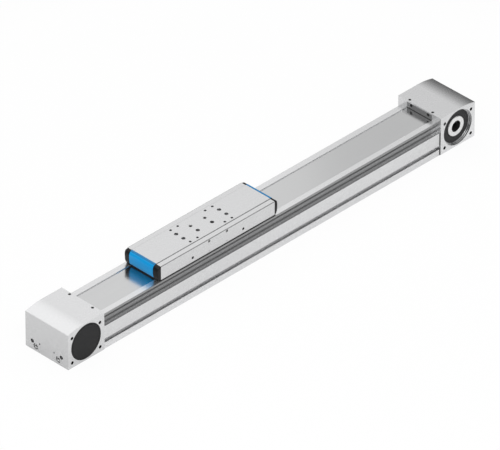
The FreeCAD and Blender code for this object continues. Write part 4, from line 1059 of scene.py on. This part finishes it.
class AXIS_OT_screws(bpy.types.Operator):
    """Set the screws and plugs that can be seen"""

    bl_idname = "axis.screws"
    bl_label = "Visible Screws"

    def rows(self, box, head, depth, aims):
        """Places of four screws in a box: two at each end, their seats at a depth below its face."""
        low, high = box
        z = (low.z + high.z) / 2
        return [
            ((side * (high.x - depth), wide * (high.y - head), z), AIM[aim])
            for side, aim in zip((-1, 1), aims) for wide in (-1, 1)]

    def execute(self, context):
        head = 0.00425
        height = 0.005
        template = socket_screw(
            "head_screw", shank=0.0025, length=0.078, head=head, height=height, socket=0.0023, knurls=30)
        spots = self.rows(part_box("head_screws"), head, height, ("-x", "+x"))
        piece = copies("end_screws", template, spots, "zinc")
        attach(piece, "base")
        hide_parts("head_screws")

        head = 0.0023
        length = 0.011
        template = socket_screw(
            "clamp_screw", shank=0.00125, length=length, head=head, height=0.0024, socket=0.0011, knurls=20)
        spots = self.rows(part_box("strip_clamp_screws"), head, length, ("+x", "-x"))
        piece = copies("strip_screws", template, spots, "oxide")
        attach(piece, "base")
        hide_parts("strip_clamp_screws")
        dress({"side_plugs": "plug"})
        return {"FINISHED"}


class AXIS_OT_stage(bpy.types.Operator):
    """Set the camera, the lamps, the floor and the surrounding light"""

    bl_idname = "axis.stage"
    bl_label = "Stage"

    aim = (-0.00731, -0.00030, 0.02584)
    back = (-0.5802, -0.5788, 0.5731)
    sensor_width = 36.0
    clip = (1.0, 200.0)
    floor_half = 40.0
    floor_drop = 0.0005
    # Where the floor fades, its tone out there, and its shares of white near the axis: seen and mirrored.
    fade_start = 0.60
    fade_length = 0.55
    far_tone = 0.06
    near_glow = 0.93
    near_mirrored = 0.15
    sky_stops = (
        (0.0, 0.02), (0.20, 0.03), (0.27, 0.08), (0.34, 0.16),
        (0.42, 0.29), (0.50, 0.50), (0.58, 0.72), (0.68, 0.86),
    )

    def watched(self, tree, path):
        """One for the rays that show the backdrop to the camera."""
        return math_node(tree, "MAXIMUM", path["Is Camera Ray"], path["Is Transmission Ray"])

    def floor(self, stage):
        """Wide floor, white to the camera and pale to the light, that fades far from the axis."""
        def build(form):
            half = self.floor_half
            corners = [(-half, -half), (half, -half), (half, half), (-half, half)]
            form.faces.new([form.verts.new((x, y, -self.floor_drop)) for x, y in corners])
        floor = mesh_piece("floor", build, None)
        finish, tree, place = start_material("Studio floor", 0.0, 0.0)
        shader = tree.nodes["Principled BSDF"]
        shader.inputs["Roughness"].default_value = 0.9
        tone = drift(tree, noise(tree, place, 3.0), stage.floor_tone, 0.995, 1.0)
        length = add_node(tree, "ShaderNodeVectorMath", {0: place}, operation="LENGTH").outputs["Value"]
        reach = math_node(tree, "SUBTRACT", length, self.fade_start)
        far = math_node(tree, "DIVIDE", reach, self.fade_length, clamp=True)
        far_tone = plain(stage.floor_tone, self.far_tone)
        feed(tree, shader.inputs["Base Color"], mix_colours(tree, far, tone, far_tone))
        glow = add_node(tree, "ShaderNodeEmission", {"Strength": 1.0})
        path = add_node(tree, "ShaderNodeLightPath").outputs
        share = math_node(tree, "MULTIPLY_ADD", far, 1.0 - self.near_glow, self.near_glow)
        seen = math_node(tree, "MULTIPLY", self.watched(tree, path), share)
        mirrored = math_node(tree, "MULTIPLY_ADD", far, -self.near_mirrored, self.near_mirrored)
        mirrored = math_node(tree, "MULTIPLY", mirrored, path["Is Glossy Ray"])
        sources = {0: math_node(tree, "MAXIMUM", seen, mirrored), 1: shader.outputs[0], 2: glow.outputs[0]}
        blend = add_node(tree, "ShaderNodeMixShader", sources)
        feed(tree, tree.nodes["Material Output"].inputs["Surface"], blend.outputs[0])
        floor.data.materials.append(finish)

    def sky(self, context, stage):
        """Light that grows from the horizon to the top, behind a backdrop white to the camera."""
        world = bpy.data.worlds.new("Studio light")
        context.scene.world = world
        world.use_nodes = True
        tree = world.node_tree
        tree.nodes.clear()
        place = add_node(tree, "ShaderNodeTexCoord").outputs["Generated"]
        ramp = add_node(tree, "ShaderNodeValToRGB", {0: split(tree, place)[2]})
        while len(ramp.color_ramp.elements) < len(self.sky_stops):
            ramp.color_ramp.elements.new(0.5)
        for element, (position, level) in zip(ramp.color_ramp.elements, self.sky_stops):
            element.position = position
            element.color = (level, level, level, 1.0)
        sources = {"Color": ramp.outputs[0], "Strength": stage.sky_level}
        surround = add_node(tree, "ShaderNodeBackground", sources)
        backdrop = add_node(tree, "ShaderNodeBackground", {"Color": (1.0, 1.0, 1.0, 1.0)})
        seen = self.watched(tree, add_node(tree, "ShaderNodeLightPath").outputs)
        sources = {0: seen, 1: surround.outputs[0], 2: backdrop.outputs[0]}
        blend = add_node(tree, "ShaderNodeMixShader", sources)
        add_node(tree, "ShaderNodeOutputWorld", {"Surface": blend.outputs[0]})

    def look(self, item, place, direction):
        """Put a lamp or camera at a place and turn it along a direction."""
        item.location = place
        item.rotation_mode = "QUATERNION"
        item.rotation_quaternion = direction.to_track_quat("-Z", "Y")

    def lamp(self, name, place, aim, size, power):
        """Square soft lamp that the camera doesn't see."""
        data = bpy.data.lights.new(name, "AREA")
        data.shape = "SQUARE"
        data.size = size
        data.energy = power
        lamp = add_object(name, data)
        self.look(lamp, place, Vector(aim) - Vector(place))
        lamp.visible_camera = False

    def execute(self, context):
        stage = context.scene.axis_stage
        self.floor(stage)
        self.sky(context, stage)
        self.lamp("key_lamp", (-1.2, -1.1, 1.9), (0, 0, 0), 1.6, stage.key_power)
        self.lamp("fill_lamp", (0.35, 0.85, 0.95), (-0.2, 0, 0), 1.0, stage.fill_power)
        data = bpy.data.cameras.new("camera")
        data.sensor_width = self.sensor_width
        data.lens = stage.lens
        data.clip_start, data.clip_end = self.clip
        camera = add_object("camera", data)
        back = Vector(self.back).normalized()
        self.look(camera, Vector(self.aim) + back * stage.distance, -back)
        context.scene.camera = camera
        context.scene.view_settings.view_transform = "Standard"
        return {"FINISHED"}


class AXIS_PT_panel(bpy.types.Panel):
    """Lists the steps and their sizes"""

    bl_idname = "AXIS_PT_panel"
    bl_label = "Linear Axis"
    bl_space_type = "VIEW_3D"
    bl_region_type = "UI"
    bl_category = "Linear Axis"

    def draw(self, context):
        layout = self.layout
        for step in STEPS:
            layout.operator(step.bl_idname)
        for name in SETTINGS:
            group = getattr(context.scene, name)
            box = layout.box()
            for key in group.__annotations__:
                box.prop(group, key)


SETTINGS = {
    "axis_strip": AxisStripSettings,
    "axis_belt": AxisBeltSettings,
    "axis_slide": AxisSlideSettings,
    "axis_finish": AxisFinishSettings,
    "axis_stage": AxisStageSettings,
}
STEPS = (
    AXIS_OT_castings, AXIS_OT_guides, AXIS_OT_strip, AXIS_OT_belt,
    AXIS_OT_caps, AXIS_OT_covers, AXIS_OT_screws, AXIS_OT_stage,
)


def register():
    for name, group in SETTINGS.items():
        bpy.utils.register_class(group)
        setattr(bpy.types.Scene, name, bpy.props.PointerProperty(type=group))
    for step in STEPS:
        bpy.utils.register_class(step)
    bpy.utils.register_class(AXIS_PT_panel)


def unregister():
    bpy.utils.unregister_class(AXIS_PT_panel)
    for step in reversed(STEPS):
        bpy.utils.unregister_class(step)
    for name, group in reversed(SETTINGS.items()):
        delattr(bpy.types.Scene, name)
        bpy.utils.unregister_class(group)


def main():
    register()
    steps = bpy.ops.axis
    for step in (
        steps.castings, steps.guides, steps.strip, steps.belt,
        steps.caps, steps.covers, steps.screws, steps.stage,
    ):
        if step() != {"FINISHED"}:
            raise RuntimeError(f"{step.idname()} did not finish")


if __name__ == "__main__":
    main()
